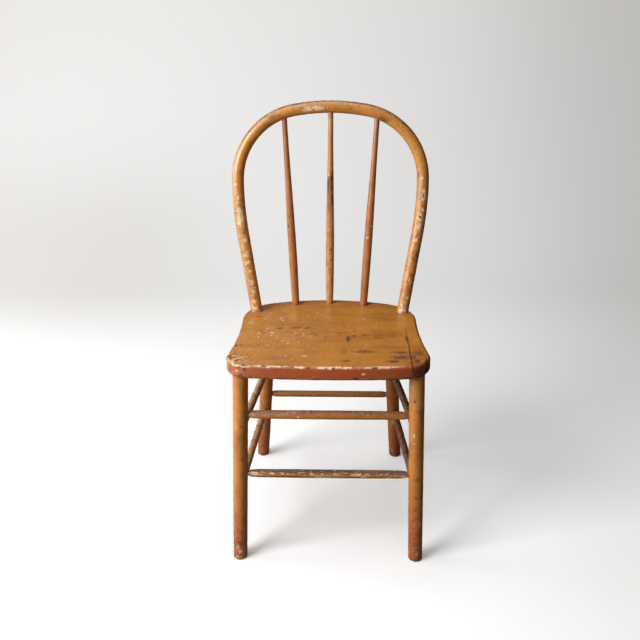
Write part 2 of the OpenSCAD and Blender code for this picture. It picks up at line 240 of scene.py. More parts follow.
def old_paint():
    """Node group: coats of old house paint over wood, worn through where its masks say.

    Place is the straightened position, with the brush strokes and the wood's grain
    along its third axis. Worn holds the brick, cream and bare-wood masks. Dirt darkens
    towards the grime colour, both for real dirt and for painted shade.
    """
    tree = bpy.data.node_groups.new("Old Paint", "ShaderNodeTree")
    add_sockets(
        tree,
        [("Place", "Vector"), ("Worn", "Color"), ("Dirt", "Float"), ("Top Coat", "Color"),
         ("Brick", "Color"), ("Cream", "Color"), ("Wood", "Color"), ("Grime", "Color"),
         ("Mottle", "Float"), ("Flecks", "Float"), ("Silvering", "Float")],
        [("Color", "Color"), ("Roughness", "Float"), ("Height", "Float")],
    )
    takes = tree.nodes.new("NodeGroupInput").outputs
    gives = tree.nodes.new("NodeGroupOutput").inputs
    place = takes["Place"]

    speck = noise(tree, place, 850, 3, 0.6)
    blotch = noise(tree, place, 150, 4, 0.6)
    cloud = noise(tree, place, 24, 4, 0.6)
    strokes = noise(tree, scaled(tree, place, (1, 1, 0.05)), 900, 3, 0.6)
    grain = noise(tree, scaled(tree, place, (1, 1, 0.03)), 420, 4, 0.65)
    streaky = noise(tree, scaled(tree, place, (1, 1, 0.35)), 210, 5, 0.7)
    ragged = maths(tree, "ADD", centred(tree, speck, 0.6), centred(tree, blotch, 0.55))

    # Small flecks where single flakes have come off
    cells = add_node(tree, "ShaderNodeTexVoronoi", ("Vector", place), ("Scale", 210.0)).outputs
    chance, pale_chance, _ = split_colour(tree, cells["Color"])
    reach = maths(tree, "ADD", cells["Distance"], centred(tree, speck, 0.7))
    spot = maths(tree, "SUBTRACT", 1.0, step(tree, reach, 0.12, 0.24))
    spot = maths(tree, "MULTIPLY", spot, maths(tree, "LESS_THAN", chance, takes["Flecks"]))
    pale_spot = maths(tree, "MULTIPLY", spot, maths(tree, "GREATER_THAN", pale_chance, 0.45))
    dark_spot = maths(tree, "SUBTRACT", spot, pale_spot)

    masks = split_colour(tree, takes["Worn"])

    def worn(channel, low=0.46, high=0.54):
        return step(tree, maths(tree, "ADD", masks[channel], ragged), low, high)

    def stained(crisp, channel, strength):
        """A crisp chip with a soft stain of the same coat round it."""
        soft = maths(tree, "MULTIPLY", line(tree, ragged, 1.4, 1.0), masks[channel])
        return maths(tree, "MAXIMUM", crisp, maths(tree, "MULTIPLY", soft, strength), clamp=True)

    brick = worn(0, 0.42, 0.6)
    cream = maths(tree, "MAXIMUM", worn(1), pale_spot)
    bare = maths(tree, "MAXIMUM", worn(2), dark_spot)
    dirt_and_shade = maths(tree, "MULTIPLY", line(tree, ragged, 1.8, 0.75), takes["Dirt"], clamp=True)

    # Top coat: brushed on, unevenly faded
    shade = maths(tree, "ADD", centred(tree, blotch, 0.5), centred(tree, strokes, 0.35))
    shade = maths(tree, "ADD", centred(tree, cloud, 0.9), shade)
    coat = scaled(tree, takes["Top Coat"], line(tree, shade, takes["Mottle"], 1.0))
    for low, high, strength, name in ((0.52, 0.78, 0.3, "Cream"), (0.48, 0.25, 0.45, "Grime")):
        streaks = maths(tree, "MULTIPLY", step(tree, streaky, low, high), takes["Mottle"])
        streaks = maths(tree, "MULTIPLY", streaks, strength)
        coat = blend_colour(tree, streaks, coat, takes[name])

    silvered = blend_colour(tree, takes["Silvering"], takes["Wood"], takes["Cream"])
    wood = blend_colour(tree, step(tree, grain, 0.35, 0.7), takes["Wood"], silvered)
    faded = blend_colour(tree, 0.45, takes["Cream"], takes["Top Coat"])
    faded = blend_colour(tree, step(tree, blotch, 0.4, 0.75), takes["Cream"], faded)
    tone = blend_colour(tree, stained(brick, 0, 0.8), coat, takes["Brick"])
    tone = blend_colour(tree, stained(cream, 1, 0.4), tone, faded)
    tone = blend_colour(tree, stained(bare, 2, 0.45), tone, wood)

    # Dirt gathers along the edge of every chip; the dirt mask also carries painted shade
    wider = maths(tree, "MAXIMUM", worn(1, 0.34, 0.46), worn(2, 0.34, 0.46))
    edge = maths(tree, "SUBTRACT", wider, maths(tree, "MAXIMUM", cream, bare), clamp=True)
    soil_and_shade = maths(tree, "MAXIMUM", dirt_and_shade, maths(tree, "MULTIPLY", edge, 0.45))
    feed(tree, blend_colour(tree, soil_and_shade, tone, takes["Grime"]), gives["Color"])

    def built_up(start, *layers):
        for layer, amount in layers:
            start = line(tree, layer, amount, start)
        return start

    rough = built_up(
        0.26, (blotch, 0.24), (maths(tree, "MAXIMUM", cream, brick), 0.14), (bare, 0.25)
    )
    feed(tree, line(tree, soil_and_shade, 0.2, rough, clamp=True), gives["Roughness"])
    height = built_up(
        1.0, (brick, -0.3), (cream, -0.35), (bare, -0.6), (strokes, 0.22), (blotch, 0.3),
        (maths(tree, "MULTIPLY", grain, bare), 0.4),
    )
    feed(tree, height, gives["Height"])
    return tree


def painted(slot, top_coat, mottle, flecks, silvering=0.04):
    """Material of one finish: the old-paint group with this finish's own coat."""
    colours = bpy.context.scene.chair_colours
    _, tree, shader = new_material("aged_" + slot)
    place = add_node(tree, "ShaderNodeAttribute", attribute_name="grain").outputs
    wear = add_node(tree, "ShaderNodeAttribute", attribute_name="wear").outputs
    paint = add_node(
        tree, "ShaderNodeGroup",
        ("Place", place["Vector"]), ("Worn", wear["Color"]), ("Dirt", wear["Alpha"]),
        ("Top Coat", tuple(top_coat)), ("Brick", tuple(colours.brick)),
        ("Cream", tuple(colours.cream)), ("Wood", tuple(colours.wood)),
        ("Grime", tuple(colours.grime_and_shade)), ("Mottle", mottle), ("Flecks", flecks),
        ("Silvering", silvering), node_tree=bpy.data.node_groups["Old Paint"],
    ).outputs
    relief = add_node(
        tree, "ShaderNodeBump",
        ("Strength", 0.35), ("Distance", 0.3 * MM), ("Height", paint["Height"]),
    ).outputs["Normal"]
    feed_all(
        tree, shader, ("Base Color", paint["Color"]), ("Roughness", paint["Roughness"]),
        ("Normal", relief), ("Specular IOR Level", 0.95),
    )


# ---------------------------------------------------------------- wear


# Odd numbers that the noise stirs its cells' places with, one for each axis and one a round
AXIS_STIR = np.array([73856093, 19349663, 83492791])
ROUND_STIR = ((13, 1274126177), (16, 668265263))


def lattice(points, size, seed):
    """Smooth seeded noise from 0 to 1 at each point, with cells of the given size."""
    q = points / size + 37.0 + 11.3 * seed
    cell = np.floor(q).astype(np.int64)
    part = q - cell
    part = part * part * (3 - 2 * part)
    total = np.zeros(len(points))
    for corner in range(8):
        bit = np.array([corner & 1, corner >> 1 & 1, corner >> 2 & 1])
        key = ((cell + bit) * AXIS_STIR).sum(1) + seed * 7919
        for shift, stir in ROUND_STIR:
            key = (key ^ (key >> shift)) * stir & 0x7FFFFFFF
        weight = np.prod(np.where(bit == 1, part, 1 - part), axis=1)
        total += weight * (key & 0xFFFFF) / 0xFFFFF
    return total


def cloudy(points, size, seed):
    """Three layers of the noise, each half as large and half as strong as the last."""
    total, scale, weight = 0, 1.0, 0.0
    for i in range(3):
        total = total + lattice(points, size * scale, seed + 5 * i) * scale
        weight += scale
        scale *= 0.5
    return total / weight


def smooth(value, low, high):
    """Smooth step from 0 at low to 1 at high, which may be the smaller one."""
    t = np.clip((value - low) / (high - low), 0, 1)
    return t * t * (3 - 2 * t)


def band(value, middle, width):
    """Soft band round a middle value, 1 in its middle."""
    return np.exp(-((value - middle) / width) ** 2)


# Faces that a mark can lie on: outward direction, and the two axes it is measured along
FACES = {"front": ((0, -1, 0), (0, 2)), "top": ((0, 0, 1), (0, 1))}
# Coats of the wear masks; the grime one also carries painted shade
COATS = {"brick": 0, "cream": 1, "bare": 2, "grime_and_shade": 3}


# Small marks strewn over each piece: coat, how many, least and largest size, strength
FLECKS = {
    "seat": [("cream", 110, 1.2, 3.5, 0.6), ("bare", 90, 1.2, 4, 0.85),
             ("grime_and_shade", 40, 6, 26, 0.4), ("brick", 40, 2, 9, 0.7)],
    "hoop": [("cream", 150, 1.2, 4, 0.85), ("bare", 90, 1, 3, 0.85),
             ("brick", 50, 3, 12, 0.6), ("grime_and_shade", 40, 5, 22, 0.5)],
    "spindle": [("cream", 16, 1, 3, 0.8), ("bare", 20, 1, 3, 0.8), ("grime_and_shade", 12, 5, 18, 0.5)],
    "leg": [("cream", 46, 1, 4, 0.85), ("bare", 36, 1, 3, 0.85),
            ("brick", 24, 2, 9, 0.7), ("grime_and_shade", 24, 5, 22, 0.5)],
    "rung": [("cream", 20, 1, 4, 0.85), ("bare", 24, 1, 3.5, 0.85), ("grime_and_shade", 12, 5, 18, 0.5)],
    "foot_rung": [("cream", 90, 0.8, 2.6, 0.9), ("bare", 60, 1, 3, 0.9)],
}


class Wear:
    """How far each coat has worn off, and where grime and painted shade darken, round the vertices of
    one piece.
    """

    def __init__(self, points, normals):
        self.points = points
        self.normals = normals
        self.masks = np.zeros((len(points), 4))

    def add(self, coat, amount):
        channel = COATS[coat]
        self.masks[:, channel] = np.maximum(self.masks[:, channel], np.clip(amount, 0, 1))

    def mark(self, coat, face, a, b, wide, high, turn, strength, seed):
        """One ragged worn place, in millimetres on a face of the chair."""
        outward, axes = FACES[face]
        flat = self.points[:, axes] / MM - (a, b)
        c, s = math.cos(math.radians(turn)), math.sin(math.radians(turn))
        across = (flat[:, 0] * c + flat[:, 1] * s) / (wide / 2)
        along = (flat[:, 1] * c - flat[:, 0] * s) / (high / 2)
        reach = np.hypot(across, along)
        near = reach < 2.5
        away = np.clip(0.3 - self.normals[near] @ outward, 0, 1)
        warp = cloudy(self.points[near], (wide + high) * 0.16 * MM, 3 + seed) - 0.5
        warp += 0.8 * (lattice(self.points[near], 1.6 * MM, 9 + seed) - 0.5)
        amount = np.zeros(len(reach))
        amount[near] = np.clip(1.5 - reach[near] - 6 * away - 1.2 * warp, 0, 1) * strength
        self.add(coat, amount)

    def marks(self, face, table, first=0, cream=1.0):
        """Makes a table's marks, the cream ones with a strength, seeded from first on."""
        for seed, (coat, a, b, wide, high, *turn) in enumerate(table, first):
            strength = cream if coat == "cream" else 1.0
            self.mark(coat, face, a, b, wide, high, *(turn or [0]), strength, seed)

    def clouds(self, coat, size, seed, levels, where=1.0, squeeze=(1, 1, 1)):
        """Soft clouds of a size in millimetres, between two levels of the noise, 0 to 1."""
        field = cloudy(self.points * squeeze, size * MM, seed)
        self.add(coat, smooth(field, *levels) * where)

    def patches(self, coat, size, part, seed, where=1.0, edge=4.0, squeeze=(1, 1, 1)):
        """Ragged patches of a size in millimetres over a part of the surface, 0 to 1."""
        field = cloudy(self.points * squeeze, size * MM, seed)
        level = np.quantile(field, 1 - part)
        self.add(coat, np.clip(0.5 + (field - level) * edge, 0, 1) * where)

    def scatter(self, coat, count, small, large, seed, strength):
        """Seeded round marks of small to large millimetres across."""
        rng = np.random.default_rng(seed)
        centres = self.points[rng.integers(0, len(self.points), count)]
        sizes = small * (large / small) ** rng.random(count) ** 1.6
        squash = rng.uniform(0.6, 1.8, (count, 3))
        amount = np.zeros(len(self.points))
        for centre, size, flat in zip(centres, sizes, squash):
            offset = (self.points - centre) / (size / 2 * MM)
            near = np.abs(offset).max(1) < 4
            reach = np.sqrt(((offset[near] * flat) ** 2).sum(1))
            warp = cloudy(self.points[near], size * 0.35 * MM, seed) - 0.5
            amount[near] = np.maximum(amount[near], np.clip(1.5 - reach - warp, 0, 1))
        self.add(coat, amount * strength)

    def flecks(self, piece, seed):
        for k, (coat, count, small, large, strength) in enumerate(FLECKS[piece]):
            self.scatter(coat, count, small, large, seed + k, strength)


def mesh_arrays(mesh):
    """A mesh's points and normals, one row for each vertex."""
    points = np.empty(len(mesh.vertices) * 3)
    mesh.vertices.foreach_get("co", points)
    normals = np.empty(len(mesh.vertices) * 3)
    mesh.vertex_normals.foreach_get("vector", normals)
    return points.reshape(-1, 3), normals.reshape(-1, 3)


def move_points(mesh, points):
    mesh.vertices.foreach_set("co", points.ravel())
    mesh.update()


def new_mesh(name, points, faces, edges=()):
    mesh = bpy.data.meshes.new(name)
    mesh.from_pydata(points, edges, faces)
    mesh.update()
    return mesh


def put_attribute(mesh, name, kind, field, values):
    old = mesh.attributes.get(name)
    if old is not None:
        mesh.attributes.remove(old)
    layer = mesh.attributes.new(name, kind, "POINT")
    layer.data.foreach_set(field, np.asarray(values, np.float32).ravel())


def wear_piece(piece, wear_out, seed, uneven=0.12):
    """Works out a piece's wear, writes it to the mesh and sinks the worn places."""
    mesh = piece.data
    points, normals = mesh_arrays(mesh)
    wear = Wear(points, normals)
    wear_out(wear)
    put_attribute(mesh, "wear", "FLOAT_COLOR", "color", wear.masks)
    # Each coat is deeper than the one above it, and bare wood is the deepest
    worn = smooth(wear.masks[:, :3], 0.4, 0.6) * (0.3, 0.6, 1)
    sink = bpy.context.scene.chair_sizes.chip_depth * worn.max(axis=1)
    sink += uneven * MM * cloudy(points, 14 * MM, seed)
    sink += 0.05 * MM * lattice(points, 2.5 * MM, seed + 1)
    on_floor = smooth(points[:, 2], 0.2 * MM, 2 * MM)
    move_points(mesh, points - normals * (sink * on_floor)[:, None])


# ---------------------------------------------------------------- turned rods


def rod_tree():
    """Geometry Nodes: a round rod along a path whose points carry its radius as 'thick'."""
    tree = bpy.data.node_groups.new("Turned Rod", "GeometryNodeTree")
    add_sockets(
        tree,
        [("Geometry", "Geometry"), ("Ring Spacing", "Float"), ("Sides", "Int"),
         ("Finish", "Material")],
        [("Geometry", "Geometry")],
    )
    takes = tree.nodes.new("NodeGroupInput").outputs
    gives = tree.nodes.new("NodeGroupOutput").inputs

    def add(kind, *values, **settings):
        return add_node(tree, "GeometryNode" + kind, *values, **settings).outputs

    def named(kind, name):
        outputs = add("InputNamedAttribute", ("Name", name), data_type=kind)
        return next(s for s in outputs if s.enabled and s.name == "Attribute")

    def store(geometry, name, value, kind):
        node = add_node(
            tree, "GeometryNodeStoreNamedAttribute", ("Geometry", geometry), ("Name", name),
            data_type=kind, domain="POINT",
        )
        feed(tree, value, next(s for s in node.inputs if s.enabled and s.name == "Value"))
        return node.outputs[0]

    rail = add("MeshToCurve", ("Mesh", takes["Geometry"]))[0]
    rail = add(
        "ResampleCurve", ("Curve", rail), ("Length", takes["Ring Spacing"]), mode="LENGTH"
    )[0]
    rail = store(rail, "run", add("SplineParameter")["Length"], "FLOAT")
    ring = add("CurvePrimitiveCircle", ("Resolution", takes["Sides"]), ("Radius", 1.0))["Curve"]
    ring = store(ring, "turn", add("InputPosition")[0], "FLOAT_VECTOR")
    thick = named("FLOAT", "thick")
    rod = add("CurveToMesh", ("Curve", rail), ("Profile Curve", ring), ("Scale", thick),
              ("Fill Caps", True))[0]
    turn = add_node(tree, "ShaderNodeSeparateXYZ", (0, named("FLOAT_VECTOR", "turn"))).outputs
    straight = add_node(
        tree, "ShaderNodeCombineXYZ",
        ("X", maths(tree, "MULTIPLY", turn[0], thick)),
        ("Y", maths(tree, "MULTIPLY", turn[1], thick)), ("Z", named("FLOAT", "run")),
    ).outputs[0]
    rod = store(rod, "grain", straight, "FLOAT_VECTOR")
    rod = add("SetShadeSmooth", ("Geometry", rod))[0]
    rod = add("RealizeInstances", ("Geometry", rod))[0]
    rod = add("SetMaterial", ("Geometry", rod), ("Material", takes["Finish"]))[0]
    feed(tree, rod, gives["Geometry"])
    return tree


def new_object(name, mesh):
    piece = bpy.data.objects.new(name, mesh)
    bpy.context.scene.collection.objects.link(piece)
    return piece


def bake(piece, modifier):
    """Makes the modifier's result the piece's own mesh, and takes the modifier off."""
    evaluated = piece.evaluated_get(bpy.context.evaluated_depsgraph_get())
    result = bpy.data.meshes.new_from_object(evaluated)
    piece.modifiers.remove(modifier)
    old = piece.data
    piece.data = result
    bpy.data.meshes.remove(old)
    result.name = piece.name


def turned_rod(name, path, radii, finish):
    """Plain mesh of a rod along a path, made by the Turned Rod tree."""
    spacing = bpy.context.scene.chair_sizes.ring_spacing
    links = [(i, i + 1) for i in range(len(path) - 1)]
    piece = new_object(name, new_mesh(name, path.tolist(), [], links))
    put_attribute(piece.data, "thick", "FLOAT", "value", radii)
    modifier = piece.modifiers.new("Turned Rod", "NODES")
    tree = bpy.data.node_groups.get("Turned Rod") or rod_tree()
    modifier.node_group = tree
    sides = max(24, int(round(2 * math.pi * max(radii) / spacing / 2)) * 2)
    values = {"Ring Spacing": spacing, "Sides": sides,
              "Finish": bpy.data.materials["aged_" + finish]}
    for item in tree.interface.items_tree:
        if item.in_out == "INPUT" and item.name in values:
            modifier[item.identifier] = values[item.name]
    bake(piece, modifier)
    return piece


def tidy_mesh(mesh, merge=0.0):
    """Merges doubles, and turns the faces outward if they point inward."""
    work = bmesh.new()
    work.from_mesh(mesh)
    if merge:
        bmesh.ops.remove_doubles(work, verts=work.verts, dist=merge)
        bmesh.ops.dissolve_degenerate(work, edges=work.edges, dist=merge)
    if work.calc_volume(signed=True) < 0:
        bmesh.ops.reverse_faces(work, faces=work.faces)
    work.to_mesh(mesh)
    work.free()
    mesh.update()


def unique_points(node):
    """Distinct vertices of a CAD node."""
    points, _ = mesh_arrays(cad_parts[node].data)
    _, keep = np.unique(np.round(points / (0.02 * MM)), axis=0, return_index=True)
    return points[keep]


def ends_of(node):
    """Centres of the two end discs of a straight CAD rod, lower or left one first."""
    points = unique_points(node)
    middle = points.mean(0)
    axis = np.linalg.svd(points - middle)[2][0]
    for _ in range(2):
        along = (points - middle) @ axis
        low = points[along < along.min() + 1.5 * MM].mean(0)
        high = points[along > along.max() - 1.5 * MM].mean(0)
        axis = (high - low) / np.linalg.norm(high - low)
    low, high = sorted((low, high), key=lambda p: tuple(np.round(p[[2, 0, 1]], 3)))
    if node.startswith("leg"):
        on_floor = points[points[:, 2] < 0.01 * MM]
        low = (on_floor.max(0) + on_floor.min(0)) / 2
    return low, high


def straight_path(low, high):
    """Points about a millimetre apart from one end of a rod to the other."""
    count = int(np.linalg.norm(high - low) / MM) + 1
    return low + (high - low) * np.linspace(0, 1, count)[:, None]


def finish_piece(piece, node):
    """Hands a finished piece over: it stands for its CAD node and rides on the chair."""
    piece.data.set_sharp_from_angle(angle=math.radians(50))
    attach(piece, "root")
    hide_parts(node)


# ---------------------------------------------------------------- seat


CLOSE_POINTS = 2.2 * MM  # wall points nearer than this to the last one are left out
SEAT_GRID = (190, 168)  # faces across and deep on the seat


def outline_of_seat():
    """Outline of the plank at its upright wall, as evenly spaced points, anticlockwise."""
    sizes = bpy.context.scene.chair_sizes
    points = unique_points("seat")
    top = points[:, 2].max() - sizes.seat_round_top
    wall = points[np.abs(points[:, 2] - top) < 0.1 * MM][:, :2]
    middle = (wall.max(0) + wall.min(0)) / 2
    angle = np.arctan2(*(wall - middle).T[::-1])
    wall = wall[np.argsort(angle)]
    gap = np.linalg.norm(wall - np.roll(wall, 1, axis=0), axis=1)
    wall = wall[gap > CLOSE_POINTS]
    # Smooth closed curve through the wall's points
    before, after = np.roll(wall, 1, axis=0), np.roll(wall, -1, axis=0)
    beyond = np.roll(wall, -2, axis=0)
    t = (np.arange(24) / 24)[None, :, None]
    a, b, c, d = (p[:, None, :] for p in (before, wall, after, beyond))
    fine = 0.5 * (2 * b + (c - a) * t + (2 * a - 5 * b + 4 * c - d) * t ** 2
                  + (3 * b - a - 3 * c + d) * t ** 3)
    fine = fine.reshape(-1, 2)
    # Front right corner, rubbed smaller than the left one
    corner = np.array([wall[:, 0].max(), wall[:, 1].min()])
    rubbed_whole = 20 * MM
    pull = smooth(np.linalg.norm(fine - corner, axis=1), sizes.corner_reach, rubbed_whole)
    inward = (middle - corner) / np.linalg.norm(middle - corner)
    return fine + inward * (pull * sizes.corner_rub)[:, None]


def resample_closed(outline, starts, counts):
    """Evenly spaced points on a closed outline, with count points from each start on."""
    reach = np.linalg.norm(np.roll(outline, -1, axis=0) - outline, axis=1)
    at = np.concatenate([[0], np.cumsum(reach)])
    closed = np.vstack([outline, outline[:1]])
    result = []
    for k, count in enumerate(counts):
        first, last = at[starts[k]], at[starts[(k + 1) % len(starts)]]
        if last <= first:
            last += at[-1]
        s = (first + (last - first) * np.arange(count) / count) % at[-1]
        result.append(np.stack([np.interp(s, at, closed[:, i]) for i in (0, 1)], axis=1))
    return np.vstack(result)


def inset(outline, distance):
    """The outline drawn in by a distance."""
    ahead = np.roll(outline, -1, axis=0) - np.roll(outline, 1, axis=0)
    ahead /= np.linalg.norm(ahead, axis=1)[:, None]
    return outline + np.stack([-ahead[:, 1], ahead[:, 0]], axis=1) * distance


def seat_rings(sizes, bottom, top):
    """Levels of the plank's side, as (distance drawn in, height), lowest first."""
    under, over = sizes.seat_round_under, sizes.seat_round_top
    levels = []
    for angle in np.linspace(0, math.pi / 2, 5):
        levels.append((under * (1 - math.sin(angle)), bottom + under * (1 - math.cos(angle))))
    for height in np.linspace(bottom + under, top - over, 9)[1:-1]:
        levels.append((0, height))
    for angle in np.linspace(0, math.pi / 2, 9):
        levels.append((over * (1 - math.cos(angle)), top - over * (1 - math.sin(angle))))
    return levels


def seat_mesh():
    sizes = bpy.context.scene.chair_sizes
    outline = outline_of_seat()
    across, deep = SEAT_GRID
    middle = (outline.max(0) + outline.min(0)) / 2
    starts = [
        int(np.argmax((outline - middle) @ np.array(corner)))
        for corner in ((-1, -1), (1, -1), (1, 1), (-1, 1))
    ]
    edge = resample_closed(outline, starts, (across, deep, across, deep))
    levels = seat_rings(sizes, seat_low.z, seat_high.z)
    rings = [np.column_stack([inset(edge, d), np.full(len(edge), z)]) for d, z in levels]
    count = len(edge)
    points = list(rings)
    faces = []
    for k in range(len(rings) - 1):
        for i in range(count):
            j = (i + 1) % count
            a, b = k * count, (k + 1) * count
            faces.append((a + i, a + j, b + j, b + i))

    def cap(ring_index, flip):
        """Even grid over the flat inside one ring."""
        ring = rings[ring_index]
        front = ring[:across + 1]
        right = ring[across:across + deep + 1]
        rear = ring[across + deep:2 * across + deep + 1][::-1]
        left = np.vstack([ring[2 * across + deep:], ring[:1]])[::-1]
        u = np.linspace(0, 1, across + 1)[None, :, None]
        v = np.linspace(0, 1, deep + 1)[:, None, None]
        grid = (
            (1 - v) * front[None] + v * rear[None]
            + (1 - u) * left[:, None] + u * right[:, None]
            - (1 - u) * (1 - v) * front[0] - u * (1 - v) * front[-1]
            - (1 - u) * v * rear[0] - u * v * rear[-1]
        )
        start = sum(len(p) for p in points)
        points.append(grid[1:-1, 1:-1].reshape(-1, 3))

        def index(row, column):
            base = ring_index * count
            if row == 0:
                return base + column
            if column == across:
                return base + across + row
            if row == deep:
                return base + 2 * across + deep - column
            if column == 0:
                return base + (count - row) % count
            return start + (row - 1) * (across - 1) + column - 1

        for row in range(deep):
            for column in range(across):
                quad = (index(row, column), index(row, column + 1),
                        index(row + 1, column + 1), index(row + 1, column))
                faces.append(quad[::-1] if flip else quad)

    cap(len(rings) - 1, False)
    cap(0, True)
    return new_mesh("painted_seat", np.vstack(points).tolist(), faces)


def cut_split(piece):
    """Cuts the split: a slightly wavy wedge, slanting through the plank."""
    sizes = bpy.context.scene.chair_sizes
    waviness, least_width, beyond = 1.3 * MM, 0.24 * MM, 10 * MM
    lengths = np.linspace(-0.02, 1, 30)
    run = lengths * sizes.split_length
    bend = (lattice(np.column_stack([run, run, run]), 17 * MM, 4) - 0.5) * waviness
    taper = (1 - np.clip(lengths, 0, 1)) ** 0.8
    half = np.maximum(sizes.split_width * taper, least_width) / 2
    left = np.column_stack([bend - half, run])
    right = np.column_stack([bend + half, run])[::-1]
    ring = np.vstack([left, right])
    count = len(ring)
    points = []
    for height in (seat_high.z + beyond, seat_low.z - beyond):
        slide = (seat_high.z - height) * math.tan(sizes.split_slant)
        shifted = ring + (sizes.split_place + slide, seat_low.y)
        points += np.column_stack([shifted, np.full(count, height)]).tolist()
    faces = [tuple(range(count)), tuple(range(2 * count - 1, count - 1, -1))]
    faces += [(i, i + count, (i + 1) % count + count, (i + 1) % count) for i in range(count)]
    cutter = new_object("split_cutter", new_mesh("split_cutter", points, faces))
    tidy_mesh(cutter.data)
    modifier = piece.modifiers.new("Cut", "BOOLEAN")
    modifier.operation = "DIFFERENCE"
    modifier.solver = "EXACT"
    modifier.object = cutter
    bake(piece, modifier)
    bpy.data.meshes.remove(cutter.data)


# Marks: coat, then in millimetres the place (X and Z on a front, X and Y on the top), width
# and height; a turned mark ends with its degrees
SEAT_TOP_MARKS = [
    ("brick", -154, 35, 22, 5, 170), ("cream", -165, -32, 4, 3), ("grime_and_shade", -104, -25, 16, 7, 20),
    ("cream", -92, -13, 4, 2.5), ("bare", -181, -111, 4.5, 8, 10), ("bare", -171, -108, 3.5, 6),
    ("cream", -174, -124, 3, 3), ("bare", -137, -107, 4, 3), ("cream", -139, -133, 5, 3, 20),
    ("cream", -43, -114, 6, 4.5), ("cream", -31, -113, 4, 3), ("cream", -58, -131, 6, 5, 30),
    ("cream", -82, -156, 7, 5), ("grime_and_shade", -67, -23, 20, 9, 10), ("grime_and_shade", -45, -24, 14, 7),
    ("grime_and_shade", -26, -58, 8, 5), ("grime_and_shade", -7, -70, 7, 5), ("grime_and_shade", -133, -48, 8, 5),
    ("brick", 21, -61, 6, 8), ("bare", 38, -75, 6.5, 25), ("bare", 51, -61, 7, 8),
    ("grime_and_shade", 71, -60, 14, 7), ("grime_and_shade", 94, -67, 12, 6), ("grime_and_shade", 131, -59, 14, 7),
    ("bare", 143, -59, 4, 3.5), ("bare", 115, -82, 3.5, 3), ("grime_and_shade", 68, -134, 32, 12, 3),
    ("brick", 66, -134, 22, 5, 3), ("grime_and_shade", 139, -137, 30, 14), ("bare", 141, -138, 17, 5),
    ("grime_and_shade", 137, -158, 34, 17), ("bare", 137, -159, 20, 8), ("grime_and_shade", 122, -175, 26, 13),
    ("bare", 121, -176, 19, 7), ("grime_and_shade", 34, -176, 16, 9), ("brick", 34, -176, 11, 5),
    ("cream", 47, -177, 4, 3), ("bare", 155, -69, 6, 9), ("grime_and_shade", 155, -80, 8, 26),
    ("bare", 162, -156, 7, 12), ("grime_and_shade", 172, -140, 24, 28), ("cream", 174, -76, 5, 4),
    ("cream", 152, -112, 4, 3),
]
SEAT_EDGE_MARKS = [
    ("cream", 4, 438, 10, 4), ("bare", 9, 437, 5, 5), ("bare", 87, 438, 11, 4),
    ("brick", 65, 433, 14, 7), ("cream", 64, 427, 8, 4), ("bare", 50, 417, 12, 6),
    ("bare", -172, 441, 10, 5), ("bare", -158, 440, 7, 4), ("bare", -122, 441, 8, 4),
    ("bare", -66, 441, 10, 4), ("bare", -37, 438, 6, 5), ("cream", -171, 427, 6, 4),
]


